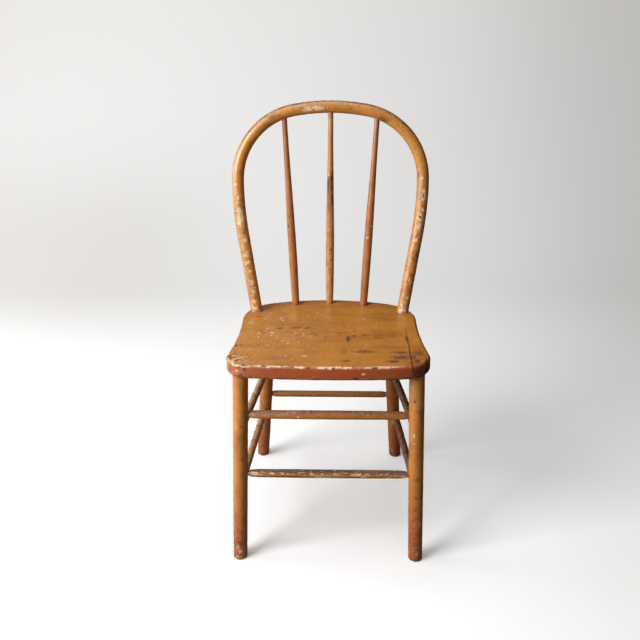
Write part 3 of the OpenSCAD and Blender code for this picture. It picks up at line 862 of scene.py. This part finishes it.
def wear_seat(wear):
    """Wear of the plank: its edge, its corners, the band at the back and the smears, with painted
    shade on its front face, rounded rim and underside.
    """
    points, normals = wear.points, wear.normals
    x, y, z = points.T / MM
    up = normals[:, 2]
    edge = y - y.min()
    upper = z > seat_high.z / MM - 10
    # Upright edge, rubbed to the brick coat
    ahead = smooth(-normals[:, 1], 0.3, 0.8)
    wear.add("brick", ahead * (0.5 + 0.3 * cloudy(points, 30 * MM, 20)
                               + 0.15 * smooth(x, -60, 160)))
    # Painted shade: the front face darkens towards its right end
    wear.add("grime_and_shade", ahead * smooth(x, 0, 180) * 0.35)
    wear.patches("brick", 9, 0.3, 21, ahead)
    sides = smooth(np.abs(up), 0.9, 0.3) * (1 - ahead)
    wear.add("brick", sides * (0.25 + 0.3 * cloudy(points, 30 * MM, 22)))
    # Rubbed line along the rounding of the front edge, palest on the left
    uneven = cloudy(points, 3 * MM, 23) + cloudy(points, 14 * MM, 47) - 1
    facing = -normals[:, 1] + 0.4 * uneven
    lip = smooth(facing, 0.05, 0.2) * smooth(up + 0.6 * uneven, 0.5, 0.7) * upper
    pale = smooth(x, 165, 110) * (0.85 + 0.15 * smooth(x, 0, -60))
    wear.patches("cream", 5, 0.7, 24, lip * pale, 5, (0.4, 1, 1))
    fringe = smooth(edge, 9, 2) * (up > 0.95) * pale
    wear.patches("cream", 2.2, 0.3, 25, fringe, 3)
    wear.patches("bare", 5, 0.08, 26, lip, 5)
    broad = band(edge, 5, 8) * upper
    wear.patches("brick", 8, 0.3, 27, broad * smooth(x, -190, -120) * 0.6)
    wear.patches("cream", 7, 0.1, 28, smooth(edge, 40, 6) * smooth(x, -60, -120) * (up > 0.3))
    wear.patches("bare", 7, 0.3, 29, smooth(z - seat_low.z / MM, 6, 2) * ahead)
    # Corners, rubbed through to dark wood on the right
    right = np.hypot(x - 190, y + 186)
    wear.patches("bare", 8, 0.42, 30, smooth(right, 46, 18), 3)
    wear.patches("brick", 11, 0.45, 31, smooth(right, 64, 24) * 0.42, 3)
    wear.patches("grime_and_shade", 11, 0.5, 50, smooth(right, 70, 30) * 0.7, 3)
    left = np.hypot(x + 186, y + 186)
    wear.patches("cream", 4, 0.22, 32, smooth(left, 60, 22) * smooth(up, -0.2, 0.3))
    left_rim = smooth(x, -150, -165) * smooth(up, 0.995, 0.9) * smooth(up, 0.1, 0.5)
    wear.patches("cream", 5, 0.4, 48, left_rim * smooth(y, 20, -60))
    wear.patches("bare", 5, 0.1, 33, smooth(left, 80, 20))
    rim = smooth(np.abs(x) + 0.06 * y, 160, 172) * smooth(up, 0.999, 0.9) * smooth(up, 0.1, 0.5)
    wear.patches("bare", 6, 0.3, 34, rim * smooth(x, -20, 20))
    wear.patches("brick", 8, 0.35, 35, rim)
    # Darker band at the back, partly dirt and partly painted shade of the back rim, and smears worn
    # across the middle
    back = np.hypot(x, y + 130) - 232
    wear.add("grime_and_shade", smooth(back, -10, 30) * (0.25 + 0.45 * cloudy(points, 22 * MM, 36)))
    sideways = (0.35, 1, 1)
    middle = band(y, -58, 24) * smooth(x, -110, -50) * smooth(x, 176, 120)
    wear.clouds("grime_and_shade", 9, 37, (0.42, 0.75), middle * 0.7, sideways)
    wear.clouds("brick", 8, 38, (0.5, 0.8), middle * 0.45, sideways)
    front_right = band(y, -158, 22) * smooth(x, 95, 130)
    wear.clouds("brick", 8, 39, (0.42, 0.7), front_right * 0.62, sideways)
    wear.clouds("bare", 6, 40, (0.52, 0.8), front_right * 0.6, sideways)
    wear.clouds("grime_and_shade", 26, 41, (0.5, 0.8), 0.38, sideways)
    left_half = smooth(x, 40, -60)
    wear.clouds("grime_and_shade", 6, 49, (0.62, 0.85), left_half * 0.5)
    wear.clouds("cream", 30, 42, (0.45, 0.75), left_half * 0.15)
    wear.patches("cream", 3, 0.08, 46, left_half * smooth(y, 20, -40) * (up > 0.9) * 0.52)
    # Painted shade along the rounded rim of the sides and back, which turns away from the light
    outline = smooth(up, 0.999, 0.97) * smooth(up, 0.0, 0.4) * smooth(edge, 4, 20)
    wear.add("grime_and_shade", outline * 0.55)
    wear.marks("top", SEAT_TOP_MARKS, cream=0.62)
    wear.marks("front", SEAT_EDGE_MARKS, first=len(SEAT_TOP_MARKS))
    # Loose swarm of pale flecks on the left half
    rng = np.random.default_rng(31)
    for k in range(60):
        a = -92 + 28 * rng.standard_normal()
        b = -66 + 28 * rng.standard_normal()
        size = rng.uniform(1.5, 4.5) * 1.6
        wear.mark("cream", "top", a, b, size, size, 0, rng.uniform(0.35, 0.75), k)
    wear.flecks("seat", 41)
    # Painted shade: the underside is darkened
    wear.add("grime_and_shade", smooth(-up, 0.5, 1) * (0.35 + 0.5 * cloudy(points, 40 * MM, 45)))


# ---------------------------------------------------------------- hoop


def hoop_line():
    """Centre line of the hoop, from one tenon's tip to the other."""
    sizes = bpy.context.scene.chair_sizes
    points = unique_points("back_hoop")
    at_seat = points[(np.abs(points[:, 2] - seat_high.z) < 0.01 * MM) & (points[:, 0] > 0)]
    foot_x, foot_y, _ = (at_seat.max(0) + at_seat.min(0)) / 2
    half = sizes.hoop_width / 2
    crown = np.array([0, sizes.hoop_rise - sizes.crown_radius])
    reach, side = sizes.crown_radius - sizes.shoulder_radius, half - sizes.shoulder_radius
    widest = crown[1] + math.sqrt(reach ** 2 - side ** 2)
    shoulder = np.array([side, widest])
    arm = np.array([half - sizes.arm_radius, widest])
    turn = math.atan2(shoulder[1] - crown[1], shoulder[0])
    to_arm = arm - (foot_x, 0)
    aim = math.atan2(to_arm[1], to_arm[0]) - math.asin(sizes.arm_radius / math.hypot(*to_arm))

    def bend(centre, radius, first, last):
        angles = np.linspace(first, last, int(abs(last - first) * radius / MM) + 2)[:-1]
        return centre + radius * np.column_stack([np.cos(angles), np.sin(angles)])

    heading = np.array([math.cos(aim), math.sin(aim)])
    tip = np.array([foot_x, 0]) - heading * sizes.hoop_tenon_length
    arc_start = arm + sizes.arm_radius * np.array(
        [math.cos(aim - math.pi / 2), math.sin(aim - math.pi / 2)]
    )
    count = int(np.linalg.norm(arc_start - tip) / MM) + 2
    half_line = np.vstack([
        tip + (arc_start - tip) * np.linspace(0, 1, count)[:-1, None],
        bend(arm, sizes.arm_radius, aim - math.pi / 2, 0),
        bend(shoulder, sizes.shoulder_radius, 0, turn),
        bend(crown, sizes.crown_radius, turn, math.pi / 2),
    ])
    across, up = np.vstack([half_line, [[0, sizes.hoop_rise]], half_line[::-1] * (-1, 1)]).T
    lean = sizes.hoop_lean
    return np.column_stack(
        [across, foot_y + up * math.sin(lean), seat_high.z + up * math.cos(lean)]
    )


HOOP_MARKS = [
    ("cream", -48, 852, 24, 8, 4), ("cream", -27, 854, 20, 9), ("cream", -171, 807, 8, 9, 40),
    ("grime_and_shade", -119, 838, 16, 8, 20), ("cream", -197, 704, 6, 5), ("cream", -192, 678, 5, 9),
    ("cream", -190, 652, 9, 9), ("cream", -187, 634, 12, 22), ("cream", -178, 592, 8, 10, 10),
    ("cream", -175, 562, 8, 12, 10), ("cream", -172, 546, 8, 7), ("cream", -169, 528, 7, 8),
    ("cream", -165, 504, 7, 12), ("cream", -163, 484, 6, 9), ("cream", -160, 464, 8, 7),
    ("cream", -158, 449, 11, 6), ("cream", 189, 718, 7, 6), ("cream", 193, 684, 9, 26),
    ("bare", 193, 684, 3, 9), ("cream", 192, 654, 9, 8), ("cream", 187, 640, 10, 13),
    ("bare", 187, 641, 4, 6), ("cream", 185, 622, 9, 14), ("cream", 178, 592, 7, 7),
    ("cream", 165, 474, 7, 6), ("cream", 160, 464, 6, 4), ("cream", 154, 447, 16, 8, 20),
    ("grime_and_shade", 107, 832, 20, 12, -25), ("cream", 142, 820, 3, 3),
]


def wear_hoop(wear):
    """Wear of the hoop: hand-rubbed crown, chipped arms and dirty feet, with some painted light on
    the left arm.
    """
    points, normals = wear.points, wear.normals
    x = points[:, 0] / MM
    rise = (points[:, 2] - seat_high.z) / MM
    ahead = smooth(-normals[:, 1], 0.45, 0.85)
    over = smooth(normals[:, 2], 0.3, 0.8) * smooth(rise, 300, 360)
    outside = smooth(normals[:, 0] * np.sign(x), 0.4, 0.9)
    # Top and outer side, dulled and rubbed by hands
    crown = smooth(normals[:, 2] + np.abs(normals[:, 0]) * 0.6, 0.8, 0.97) * (rise > 300)
    wear.add("grime_and_shade", over * (0.1 + 0.4 * cloudy(points, 12 * MM, 51)))
    wear.add("grime_and_shade", crown * (0.5 + 0.4 * cloudy(points, 5 * MM, 61)))
    wear.patches("bare", 4, 0.25, 62, crown * 0.9, 4, (0.6, 1, 0.6))
    wear.patches("grime_and_shade", 6, 0.35, 52, np.maximum(over, 0.7 * outside) * 0.75)
    wear.patches("cream", 5, 0.07, 53, over * 0.9)
    wear.patches("cream", 3, 0.16, 54, np.maximum(over, outside) * 0.8)
    # Arms, chipped down to the cream coat along the front
    arm = ahead * smooth(rise, 305, 220)
    strip = arm * smooth(cloudy(points, 22 * MM, 59), 0.4, 0.6)
    wear.patches("cream", 5, 0.12, 55, strip)
    wear.patches("cream", 2.4, 0.09, 56, arm * 0.95)
    wear.patches("brick", 8, 0.1, 57, smooth(rise, 320, 200) * 0.7)
    wear.patches("bare", 3, 0.035, 58, np.clip(arm * 1.2, 0, 1))
    # Pale cream on the left arm alone: partly real wear, partly painted light on the arm nearer the
    # lamps
    wear.add("cream", arm * 0.35 * smooth(x, 0, -1) * cloudy(points, 40 * MM, 59))
    wear.patches("cream", 4, 0.5, 60, smooth(rise, 30, 2) * ahead)
    wear.add("grime_and_shade", smooth(rise, 8, 1) * 0.6)
    wear.marks("front", HOOP_MARKS)
    wear.flecks("hoop", 54)


# ---------------------------------------------------------------- operators


class CHAIR_OT_finishes(bpy.types.Operator):
    """Mixes the paints: one material for each finish on the chair"""

    bl_idname = "chair.finishes"
    bl_label = "Paint Finishes"

    def execute(self, context):
        colours = context.scene.chair_colours
        old_paint()
        painted("seat_paint", colours.ochre, 0.6, 0.02)
        painted("hoop_paint", colours.hoop_ochre, 1.0, 0.03)
        painted("spindle_brick", colours.terracotta, 0.8, 0.02)
        painted("spindle_ochre", colours.tan, 0.8, 0.02)
        painted("front_leg_paint", colours.leg_ochre, 0.6, 0.02)
        painted("rear_leg_paint", colours.russet, 0.6, 0.03)
        painted("speckled_rung", colours.leg_ochre, 0.6, 0.06, silvering=0.4)
        painted("worn_rung", colours.ochre, 0.6, 0.03, silvering=0.25)
        painted("side_rung", colours.rubbed, 0.6, 0.03)
        painted("rear_rung", colours.leg_ochre, 0.6, 0.03)
        return {"FINISHED"}


class CHAIR_OT_seat(bpy.types.Operator):
    """Builds the plank seat with its rounded edges, worn corner and split"""

    bl_idname = "chair.seat"
    bl_label = "Seat"

    def execute(self, context):
        piece = new_object("painted_seat", seat_mesh())
        piece.data.materials.append(bpy.data.materials["aged_seat_paint"])
        cut_split(piece)
        piece.data.shade_smooth()
        # The plank's grain runs from front to back
        points, _ = mesh_arrays(piece.data)
        put_attribute(piece.data, "grain", "FLOAT_VECTOR", "vector", points[:, [0, 2, 1]])
        wear_piece(piece, wear_seat, 61, uneven=0.25)
        finish_piece(piece, "seat")
        return {"FINISHED"}


class CHAIR_OT_hoop(bpy.types.Operator):
    """Bends the rod of the back"""

    bl_idname = "chair.hoop"
    bl_label = "Hoop"

    def execute(self, context):
        sizes = context.scene.chair_sizes
        path = hoop_line()
        above = path[:, 2] > seat_high.z - sizes.shoulder_sink
        radii = np.where(above, sizes.hoop_thick, sizes.hoop_tenon) / 2
        piece = turned_rod("painted_hoop", path, radii, "hoop_paint")
        tidy_mesh(piece.data)
        wear_piece(piece, wear_hoop, 62)
        finish_piece(piece, "back_hoop")
        return {"FINISHED"}


class CHAIR_OT_spindles(bpy.types.Operator):
    """Turns the three spindles of the back"""

    bl_idname = "chair.spindles"
    bl_label = "Spindles"

    def execute(self, context):
        sizes = context.scene.chair_sizes
        for side in SPINDLE_MARKS:
            slot = "spindle_ochre" if side == "center" else "spindle_brick"
            low, high = ends_of("spindle_" + side)
            path = straight_path(low, high)
            lift = (seat_high.z - low[2]) / (high[2] - low[2]) * np.linalg.norm(high - low)
            run = np.linalg.norm(path - low, axis=1) - lift
            belly = sizes.spindle_belly_height
            neck = run[-1] - sizes.spindle_neck
            foot, wide, top = (
                d / 2 for d in (sizes.spindle_foot, sizes.spindle_belly, sizes.spindle_top)
            )
            below = foot + (wide - foot) * np.sin(math.pi / 2 * np.clip(run / belly, 0, 1))
            fall = np.clip((run - belly) / (neck - belly), 0, 1)
            above = top + (wide - top) * (1 + np.cos(math.pi * fall)) / 2
            radii = np.where(run < belly, below, above)
            radii = np.where(run < -sizes.spindle_sink, sizes.spindle_tenon / 2, radii)
            piece = turned_rod("turned_spindle_" + side, path, radii, slot)
            tidy_mesh(piece.data)
            wear_piece(piece, lambda wear: wear_spindle(wear, side), 63)
            finish_piece(piece, "spindle_" + side)
        return {"FINISHED"}


SPINDLE_MARKS = {
    "left": [("bare", -88, 612, 3, 6), ("bare", -84, 565, 2.5, 5)],
    "center": [
        ("grime_and_shade", 1, 705, 10, 46), ("grime_and_shade", -3, 680, 9, 90), ("bare", -4, 697, 4, 34),
        ("bare", 3, 712, 4, 12), ("bare", 4, 668, 3, 24), ("bare", 2, 562, 4, 4),
        ("bare", 2, 539, 3, 4), ("cream", -3, 720, 4, 7),
    ],
    "right": [("cream", 88, 614, 5, 4), ("cream", 80, 590, 4, 6)],
}


def wear_spindle(wear, side):
    """Wear of a spindle: streaks along it, dirt at both ends."""
    points = wear.points
    rise = (points[:, 2] - seat_high.z) / MM
    wear.marks("front", SPINDLE_MARKS[side])
    seed = 70 + 10 * list(SPINDLE_MARKS).index(side)
    along = (1, 1, 0.25)
    wear.add("grime_and_shade", smooth(rise, 250, 360) * 0.8 * cloudy(points, 14 * MM, seed))
    wear.clouds("grime_and_shade", 5, seed + 4, (0.5, 0.8), 0.5, along)
    wear.clouds("cream", 6, seed + 5, (0.5, 0.8), 0.35, along)
    wear.add("grime_and_shade", smooth(rise, 10, 1) * 0.7)
    if side != "center":
        faded = smooth(cloudy(points * along, 9 * MM, seed + 6), 0.35, 0.7)
        wear.add("brick", 0.15 + 0.25 * faded)
    wear.flecks("spindle", seed + 1)


class CHAIR_OT_legs(bpy.types.Operator):
    """Turns the four legs and stands them on the floor"""

    bl_idname = "chair.legs"
    bl_label = "Legs"

    def execute(self, context):
        sizes = context.scene.chair_sizes
        spare = 12 * MM  # length below the floor, cut off again
        for name in LEG_MARKS:
            low, high = ends_of("leg_" + name)
            axis = (high - low) / np.linalg.norm(high - low)
            path = straight_path(low - axis * spare, high)
            rise = np.clip(path[:, 2] / seat_low.z, 0, 1)
            radii = (sizes.leg_foot + (sizes.leg_top - sizes.leg_foot) * rise) / 2
            in_seat = path[:, 2] > seat_low.z + sizes.shoulder_sink
            radii = np.where(in_seat, sizes.leg_tenon / 2, radii)
            slot = name.split("_")[0] + "_leg_paint"
            piece = turned_rod("painted_leg_" + name, path, radii, slot)
            stand_on_floor(piece.data, low, axis, sizes)
            wear_piece(piece, lambda wear: wear_leg(wear, name), 64)
            finish_piece(piece, "leg_" + name)
        return {"FINISHED"}


def stand_on_floor(mesh, foot, axis, sizes):
    """Cuts a leg flat at the floor and bevels the foot's rim."""
    points, _ = mesh_arrays(mesh)
    below = points[:, 2] < 0
    points[below] -= axis * (points[below, 2] / axis[2])[:, None]
    move_points(mesh, points)
    tidy_mesh(mesh, merge=0.02 * MM)
    points, _ = mesh_arrays(mesh)
    centre = foot + axis * (points[:, 2] / axis[2])[:, None]
    out = points - centre
    out /= np.maximum(np.linalg.norm(out, axis=1), 1e-6)[:, None]
    out[:, 2] = 0
    bevel = np.clip(sizes.foot_bevel - points[:, 2], 0, None)
    move_points(mesh, points - out * bevel[:, None])


LEG_MARKS = {
    "front_left": [
        ("cream", -183, 34, 6, 12), ("cream", -178, 22, 9, 7), ("cream", -181, 5, 22, 5),
        ("grime_and_shade", -178, 40, 20, 14), ("bare", -168, 305, 2.5, 4),
    ],
    "front_right": [
        ("bare", 187, 168, 3, 22), ("bare", 186, 150, 3, 8), ("bare", 175, 150, 4, 5),
        ("cream", 185, 293, 3, 3), ("cream", 165, 288, 3.5, 8), ("cream", 166, 272, 3, 4),
        ("bare", 164, 361, 3, 5), ("cream", 184, 90, 4, 10),
    ],
    "rear_left": [("cream", -160, 110, 5, 14)],
    "rear_right": [("cream", 152, 120, 5, 16)],
}


def wear_leg(wear, name):
    """Wear of a leg: kicked through at the foot, with painted shade just under the seat."""
    points = wear.points
    z = points[:, 2] / MM
    to_seat = seat_low.z / MM - z
    seed = 100 + 20 * list(LEG_MARKS).index(name)
    wear.marks("front", LEG_MARKS[name])
    patchy = cloudy(points, 20 * MM, seed)
    # Ochre thins towards the foot and lets the brick coat through
    low = smooth(z, 225, 70) if name.startswith("front") else smooth(z, 110, 10)
    wear.add("brick", low * (0.25 + 0.5 * patchy))
    wear.patches("brick", 5, 0.3, seed + 5, low * 0.95)
    wear.patches("brick", 4, 0.6, seed + 7, smooth(z, 110, 40))
    wear.patches("cream", 4, 0.1, seed + 6, smooth(z, 90, 10) * 0.9)
    wear.add("grime_and_shade", low * (0.05 + 0.3 * cloudy(points, 12 * MM, seed + 11)))
    wear.add("cream", low * 0.4 * cloudy(points, 9 * MM, seed + 10))
    wear.add("bare", smooth(z, 3, 0) * 0.9)
    wear.add("grime_and_shade", smooth(z, 22, 2) * 0.75)
    # Painted shade: darker just under the seat
    wear.add("grime_and_shade", smooth(to_seat, 13, 2) * 0.5)
    wear.clouds("grime_and_shade", 12, seed + 8, (0.5, 0.8), 0.4, (1, 1, 0.4))
    wear.clouds("cream", 10, seed + 9, (0.55, 0.85), 0.35, (1, 1, 0.4))
    wear.flecks("leg", seed + 1)


RUNGS = {
    "front_upper": "speckled_rung", "front_lower": "worn_rung",
    "left_upper": "side_rung", "left_lower": "side_rung",
    "right_upper": "side_rung", "right_lower": "side_rung", "rear": "rear_rung",
}
RUNG_MARKS = {
    "front_upper": [
        ("cream", -127, 329, 3, 3), ("cream", -84, 331, 4, 4), ("cream", -66, 331, 9, 4),
        ("cream", -58, 323, 6, 4), ("cream", 64, 331, 6, 4), ("cream", 75, 329, 4, 3),
    ],
    "front_lower": [
        ("cream", -143, 199, 18, 9), ("cream", -4, 191, 50, 5), ("cream", 72, 193, 14, 5),
        ("cream", 121, 191, 16, 4), ("cream", 149, 194, 11, 6), ("brick", -90, 192, 70, 7),
    ],
}


def wear_rung(wear, name):
    """Wear of a rung, most of all where feet have rested on the lower front one, with painted shade
    under the side rungs and over the right ones.
    """
    points = wear.points
    x = points[:, 0] / MM
    up = wear.normals[:, 2]
    seed = 200 + 20 * list(RUNGS).index(name)
    patchy = cloudy(points, 12 * MM, seed)
    wear.marks("front", RUNG_MARKS.get(name, []))
    along = (1, 0.3, 1) if RUNGS[name] == "side_rung" else (0.3, 1, 1)
    if name == "front_lower":
        flat = smooth(up, 0.2, 0.5) * smooth(np.abs(x), 163, 152)
        wear.add("bare", flat * 0.85)
        wear.patches("cream", 1.8, 0.09, seed + 5, flat, 4, (0.35, 1, 1))
        rim = smooth(up, 0.9, 0.5) * smooth(up, -0.1, 0.2)
        wear.patches("cream", 3, 0.33, seed + 6, rim, 4, (0.5, 1, 1))
        wear.masks[:, COATS["bare"]] *= 1 - smooth(wear.masks[:, COATS["cream"]], 0.45, 0.6)
        wear.patches("brick", 7, 0.3, seed + 7, smooth(up, 0, -0.5))
        wear.add("grime_and_shade", flat * 0.4 * patchy)
        wear.flecks("foot_rung", seed + 10)
    elif name == "front_upper":
        wear.add("grime_and_shade", smooth(up, -0.1, 0.5) * (0.3 + 0.5 * patchy))
        wear.add("bare", smooth(up, 0.1, 0.6) * 0.45)
        wear.add("cream", smooth(up, 0.0, 0.6) * (0.1 + 0.35 * cloudy(points, 6 * MM, seed + 8)))
        wear.patches("cream", 2.6, 0.13, seed + 5, smooth(up, -0.3, 0.3) * smooth(x, 20, -40))
        wear.patches("bare", 4, 0.1, seed + 6, smooth(up, 0.2, 0.7))
    elif name == "rear":
        wear.add("grime_and_shade", 0.4 + smooth(up, 0.5, 0.9) * (0.2 + 0.4 * patchy))
    else:
        right = name.startswith("right")
        # Painted shade on the side rungs' undersides
        wear.add("grime_and_shade", smooth(-up, 0.0, 0.6) * (0.3 + 0.5 * patchy))
        rubbed = 0.15 + 0.4 * cloudy(points * along, 7 * MM, seed + 7)
        # Less cream on the right rungs, as part of their painted shade
        wear.add("cream", smooth(up, 0.2, 0.8) * rubbed * (0.6 if right else 1))
        wear.patches("bare", 5, 0.1, seed + 6, 0.9)
        # Painted shade: grime and bare wood darken the right rungs all over
        if right:
            wear.add("grime_and_shade", 0.7 + 0.3 * patchy)
            wear.add("bare", 0.38 + 0.25 * patchy)
    wear.clouds("grime_and_shade", 7, seed + 9, (0.5, 0.8), 0.45, along)
    wear.flecks("rung", seed + 1)


class CHAIR_OT_rungs(bpy.types.Operator):
    """Turns the seven rungs between the legs"""

    bl_idname = "chair.rungs"
    bl_label = "Rungs"

    def execute(self, context):
        sizes = context.scene.chair_sizes
        for name, slot in RUNGS.items():
            node = "stretcher_" + name
            low, high = ends_of(node)
            path = straight_path(low, high)
            run = np.linalg.norm(path - low, axis=1)
            total = run[-1]
            tip = sizes.leg_top / 2 - sizes.rung_tenon_length
            inner = np.minimum(run, total - run) + tip
            shoulder = sizes.leg_top / 2 + sizes.rung_shoulder
            body = shoulder + sizes.rung_neck
            swell = np.clip((run + tip - body) / (total + 2 * tip - 2 * body), 0, 1)
            place = name.split("_")[0]
            wide = {"front": sizes.rung_front, "rear": sizes.rung_rear}.get(place, sizes.rung_side)
            end, tenon = sizes.rung_end / 2, sizes.rung_tenon / 2
            third = (tenon + 2 * end) / 3
            radii = np.interp(
                inner, [tip, shoulder, shoulder + sizes.rung_neck / 3, body],
                [tenon, tenon, third, end])
            radii += (wide / 2 - end) * np.sin(math.pi * swell) ** 0.3
            piece = turned_rod("turned_rung_" + name, path, radii, slot)
            tidy_mesh(piece.data)
            if name == "front_lower":
                top = (low[2] + high[2] + sizes.rung_front) / 2
                wear_flat(piece.data, top - sizes.footrest_wear)
            wear_piece(piece, lambda wear: wear_rung(wear, name), 65)
            finish_piece(piece, node)
        return {"FINISHED"}


def wear_flat(mesh, level):
    """Presses the top of the foot rung down to a slightly wavy flat."""
    points, _ = mesh_arrays(mesh)
    waviness, pressed = 0.7 * MM, 0.94
    wavy = level + waviness * (cloudy(points * (1, 0.3, 0), 40 * MM, 8) - 0.5)
    points[:, 2] -= pressed * np.clip(points[:, 2] - wavy, 0, None)
    move_points(mesh, points)


# ---------------------------------------------------------------- studio


class CHAIR_OT_studio(bpy.types.Operator):
    """Sets the floor, backdrop, soft lamps and camera"""

    bl_idname = "chair.studio"
    bl_label = "Studio"

    def execute(self, context):
        scene = context.scene
        scene.view_settings.view_transform = "Standard"
        backdrop(scene.chair_colours.floor)
        surround()
        soft_lamp("key_lamp", (-1.85, -1.3, 1.75), (0, 0, 0.42), 1.3, 76)
        soft_lamp("side_lamp", (-3.2, 0.2, 1.1), (0, 0, 0.45), 1.3, 42)
        soft_lamp("top_lamp", (-0.3, -0.1, 2.9), (0, 0, 0.4), 1.6, 24)
        world = bpy.data.worlds.new("studio")
        scene.world = world
        world.use_nodes = True
        background = world.node_tree.nodes["Background"]
        feed_all(world.node_tree, background, ("Color", (1, 0.66, 0.4)), ("Strength", 0.055))
        data = bpy.data.cameras.new("camera")
        data.lens = 45
        data.sensor_width = 36
        data.dof.use_dof = False
        camera = bpy.data.objects.new("camera", data)
        camera.location = (0.0079, -1.5199, 1.1001)
        camera.rotation_euler = (math.radians(66.77), 0, math.radians(1.023))
        scene.collection.objects.link(camera)
        scene.camera = camera
        return {"FINISHED"}


def soft_lamp(name, place, target, size, power):
    data = bpy.data.lights.new(name, "AREA")
    data.shape = "SQUARE"
    data.size = size
    data.energy = power
    lamp = bpy.data.objects.new(name, data)
    lamp.location = place
    aim = Vector(target) - Vector(place)
    lamp.rotation_euler = aim.to_track_quat("-Z", "Y").to_euler()
    bpy.context.scene.collection.objects.link(lamp)


def backdrop(tone):
    """Floor that sweeps up into a wall behind the chair."""
    front, bend_start, bend = -3.2, 1.3, 1.4
    profile = [(front, 0)] + [
        (bend_start + bend * math.sin(a), bend * (1 - math.cos(a)))
        for a in np.linspace(0, math.pi / 2, 24)
    ] + [(bend_start + bend, 4.5)]
    points = [(x, y, z) for x in (-5.0, 5.0) for y, z in profile]
    count = len(profile)
    faces = [(i, i + count, i + count + 1, i + 1) for i in range(count - 1)]
    mesh = new_mesh("studio_sweep", points, faces)
    mesh.shade_smooth()
    material, tree, shader = new_material("studio_floor")
    rays = add_node(tree, "ShaderNodeLightPath").outputs
    place = add_node(tree, "ShaderNodeTexCoord").outputs["Object"]
    x, y, _ = add_node(tree, "ShaderNodeSeparateXYZ", (0, place)).outputs

    # The chair is lit and mirrored by a dimmer, warmer floor than the camera sees
    sheen = blend_colour(tree, step(tree, x, 0.1, -0.6), (0.05, 0.035, 0.02), (0.6, 0.6, 0.58))
    dim = blend_colour(tree, rays["Is Glossy Ray"], (0.4, 0.33, 0.25), sheen)
    aside = step(tree, maths(tree, "ABSOLUTE", x), 2.2, 4.4)
    fade = maths(tree, "MAXIMUM", aside, step(tree, y, -1.7, -3.0))
    pale = blend_colour(tree, fade, tuple(tone), (0, 0, 0))

    # Glow for the camera alone: a little less on the right and far back on the left
    far_left = maths(tree, "MULTIPLY", step(tree, x, -0.1, -1.0), step(tree, y, 0.5, 1.2))
    far_left = maths(tree, "MULTIPLY", far_left, step(tree, y, 2.5, 1.7))
    glow = line(tree, step(tree, x, 0.4, 1.3), -0.06, 0.22)
    glow = line(tree, far_left, -0.14, glow)
    glow = maths(tree, "MAXIMUM", glow, maths(tree, "MULTIPLY", fade, SURROUND))
    seen = rays["Is Camera Ray"]
    feed_all(
        tree, shader,
        ("Base Color", blend_colour(tree, seen, dim, pale)), ("Emission Color", (0.9, 0.96, 1)),
        ("Emission Strength", maths(tree, "MULTIPLY", glow, seen)),
        ("Roughness", 0.9), ("Specular IOR Level", 0),
    )
    mesh.materials.append(material)
    new_object("studio_sweep", mesh)


def surround():
    """Pale round wall seen only by the camera, so that no angle looks into the dark."""
    flat, bend, level = 6.0, 2.0, -0.002
    profile = [(flat, level)] + [
        (flat + bend * math.sin(a), bend * (1 - math.cos(a)))
        for a in np.linspace(0.1, math.pi / 2, 12)
    ] + [(flat + bend, 7.0)]
    sides = 96
    turns = np.linspace(0, 2 * math.pi, sides, endpoint=False)
    points = [(0, 0, level)]
    points += [(r * math.cos(t), r * math.sin(t), z) for r, z in profile for t in turns]
    faces = [(0, 1 + i, 1 + (i + 1) % sides) for i in range(sides)]
    for ring in range(len(profile) - 1):
        low = 1 + ring * sides
        for i in range(sides):
            j = (i + 1) % sides
            faces.append((low + i, low + sides + i, low + sides + j, low + j))
    mesh = new_mesh("studio_wall", points, faces)
    material, tree, shader = new_material("studio_wall")
    feed_all(
        tree, shader, ("Base Color", (0, 0, 0)), ("Specular IOR Level", 0),
        ("Emission Color", (0.93, 0.97, 1)), ("Emission Strength", SURROUND),
    )
    mesh.materials.append(material)
    wall = new_object("studio_wall", mesh)
    for kind in ("diffuse", "glossy", "transmission", "shadow"):
        setattr(wall, "visible_" + kind, False)


class CHAIR_PT_pieces(bpy.types.Panel):
    """Lists the chair's pieces, sizes and colours"""

    bl_label = "Peeling Paint Chair"
    bl_idname = "CHAIR_PT_pieces"
    bl_space_type = "VIEW_3D"
    bl_region_type = "UI"
    bl_category = "Chair"

    def draw(self, context):
        for operator in OPERATORS:
            self.layout.operator(operator.bl_idname)
        for group in (context.scene.chair_sizes, context.scene.chair_colours):
            box = self.layout.box()
            for name in group.bl_rna.properties.keys():
                if name not in ("rna_type", "name"):
                    box.prop(group, name)


OPERATORS = (
    CHAIR_OT_finishes, CHAIR_OT_seat, CHAIR_OT_hoop, CHAIR_OT_spindles, CHAIR_OT_legs,
    CHAIR_OT_rungs, CHAIR_OT_studio,
)
CLASSES = (ChairSizes, PaintColours, *OPERATORS, CHAIR_PT_pieces)


def register():
    for item in CLASSES:
        bpy.utils.register_class(item)
    bpy.types.Scene.chair_sizes = bpy.props.PointerProperty(type=ChairSizes)
    bpy.types.Scene.chair_colours = bpy.props.PointerProperty(type=PaintColours)


def unregister():
    del bpy.types.Scene.chair_colours
    del bpy.types.Scene.chair_sizes
    for item in reversed(CLASSES):
        bpy.utils.unregister_class(item)


def main():
    register()
    bpy.ops.chair.finishes()
    bpy.ops.chair.seat()
    bpy.ops.chair.hoop()
    bpy.ops.chair.spindles()
    bpy.ops.chair.legs()
    bpy.ops.chair.rungs()
    bpy.ops.chair.studio()


if __name__ == "__main__":
    main()
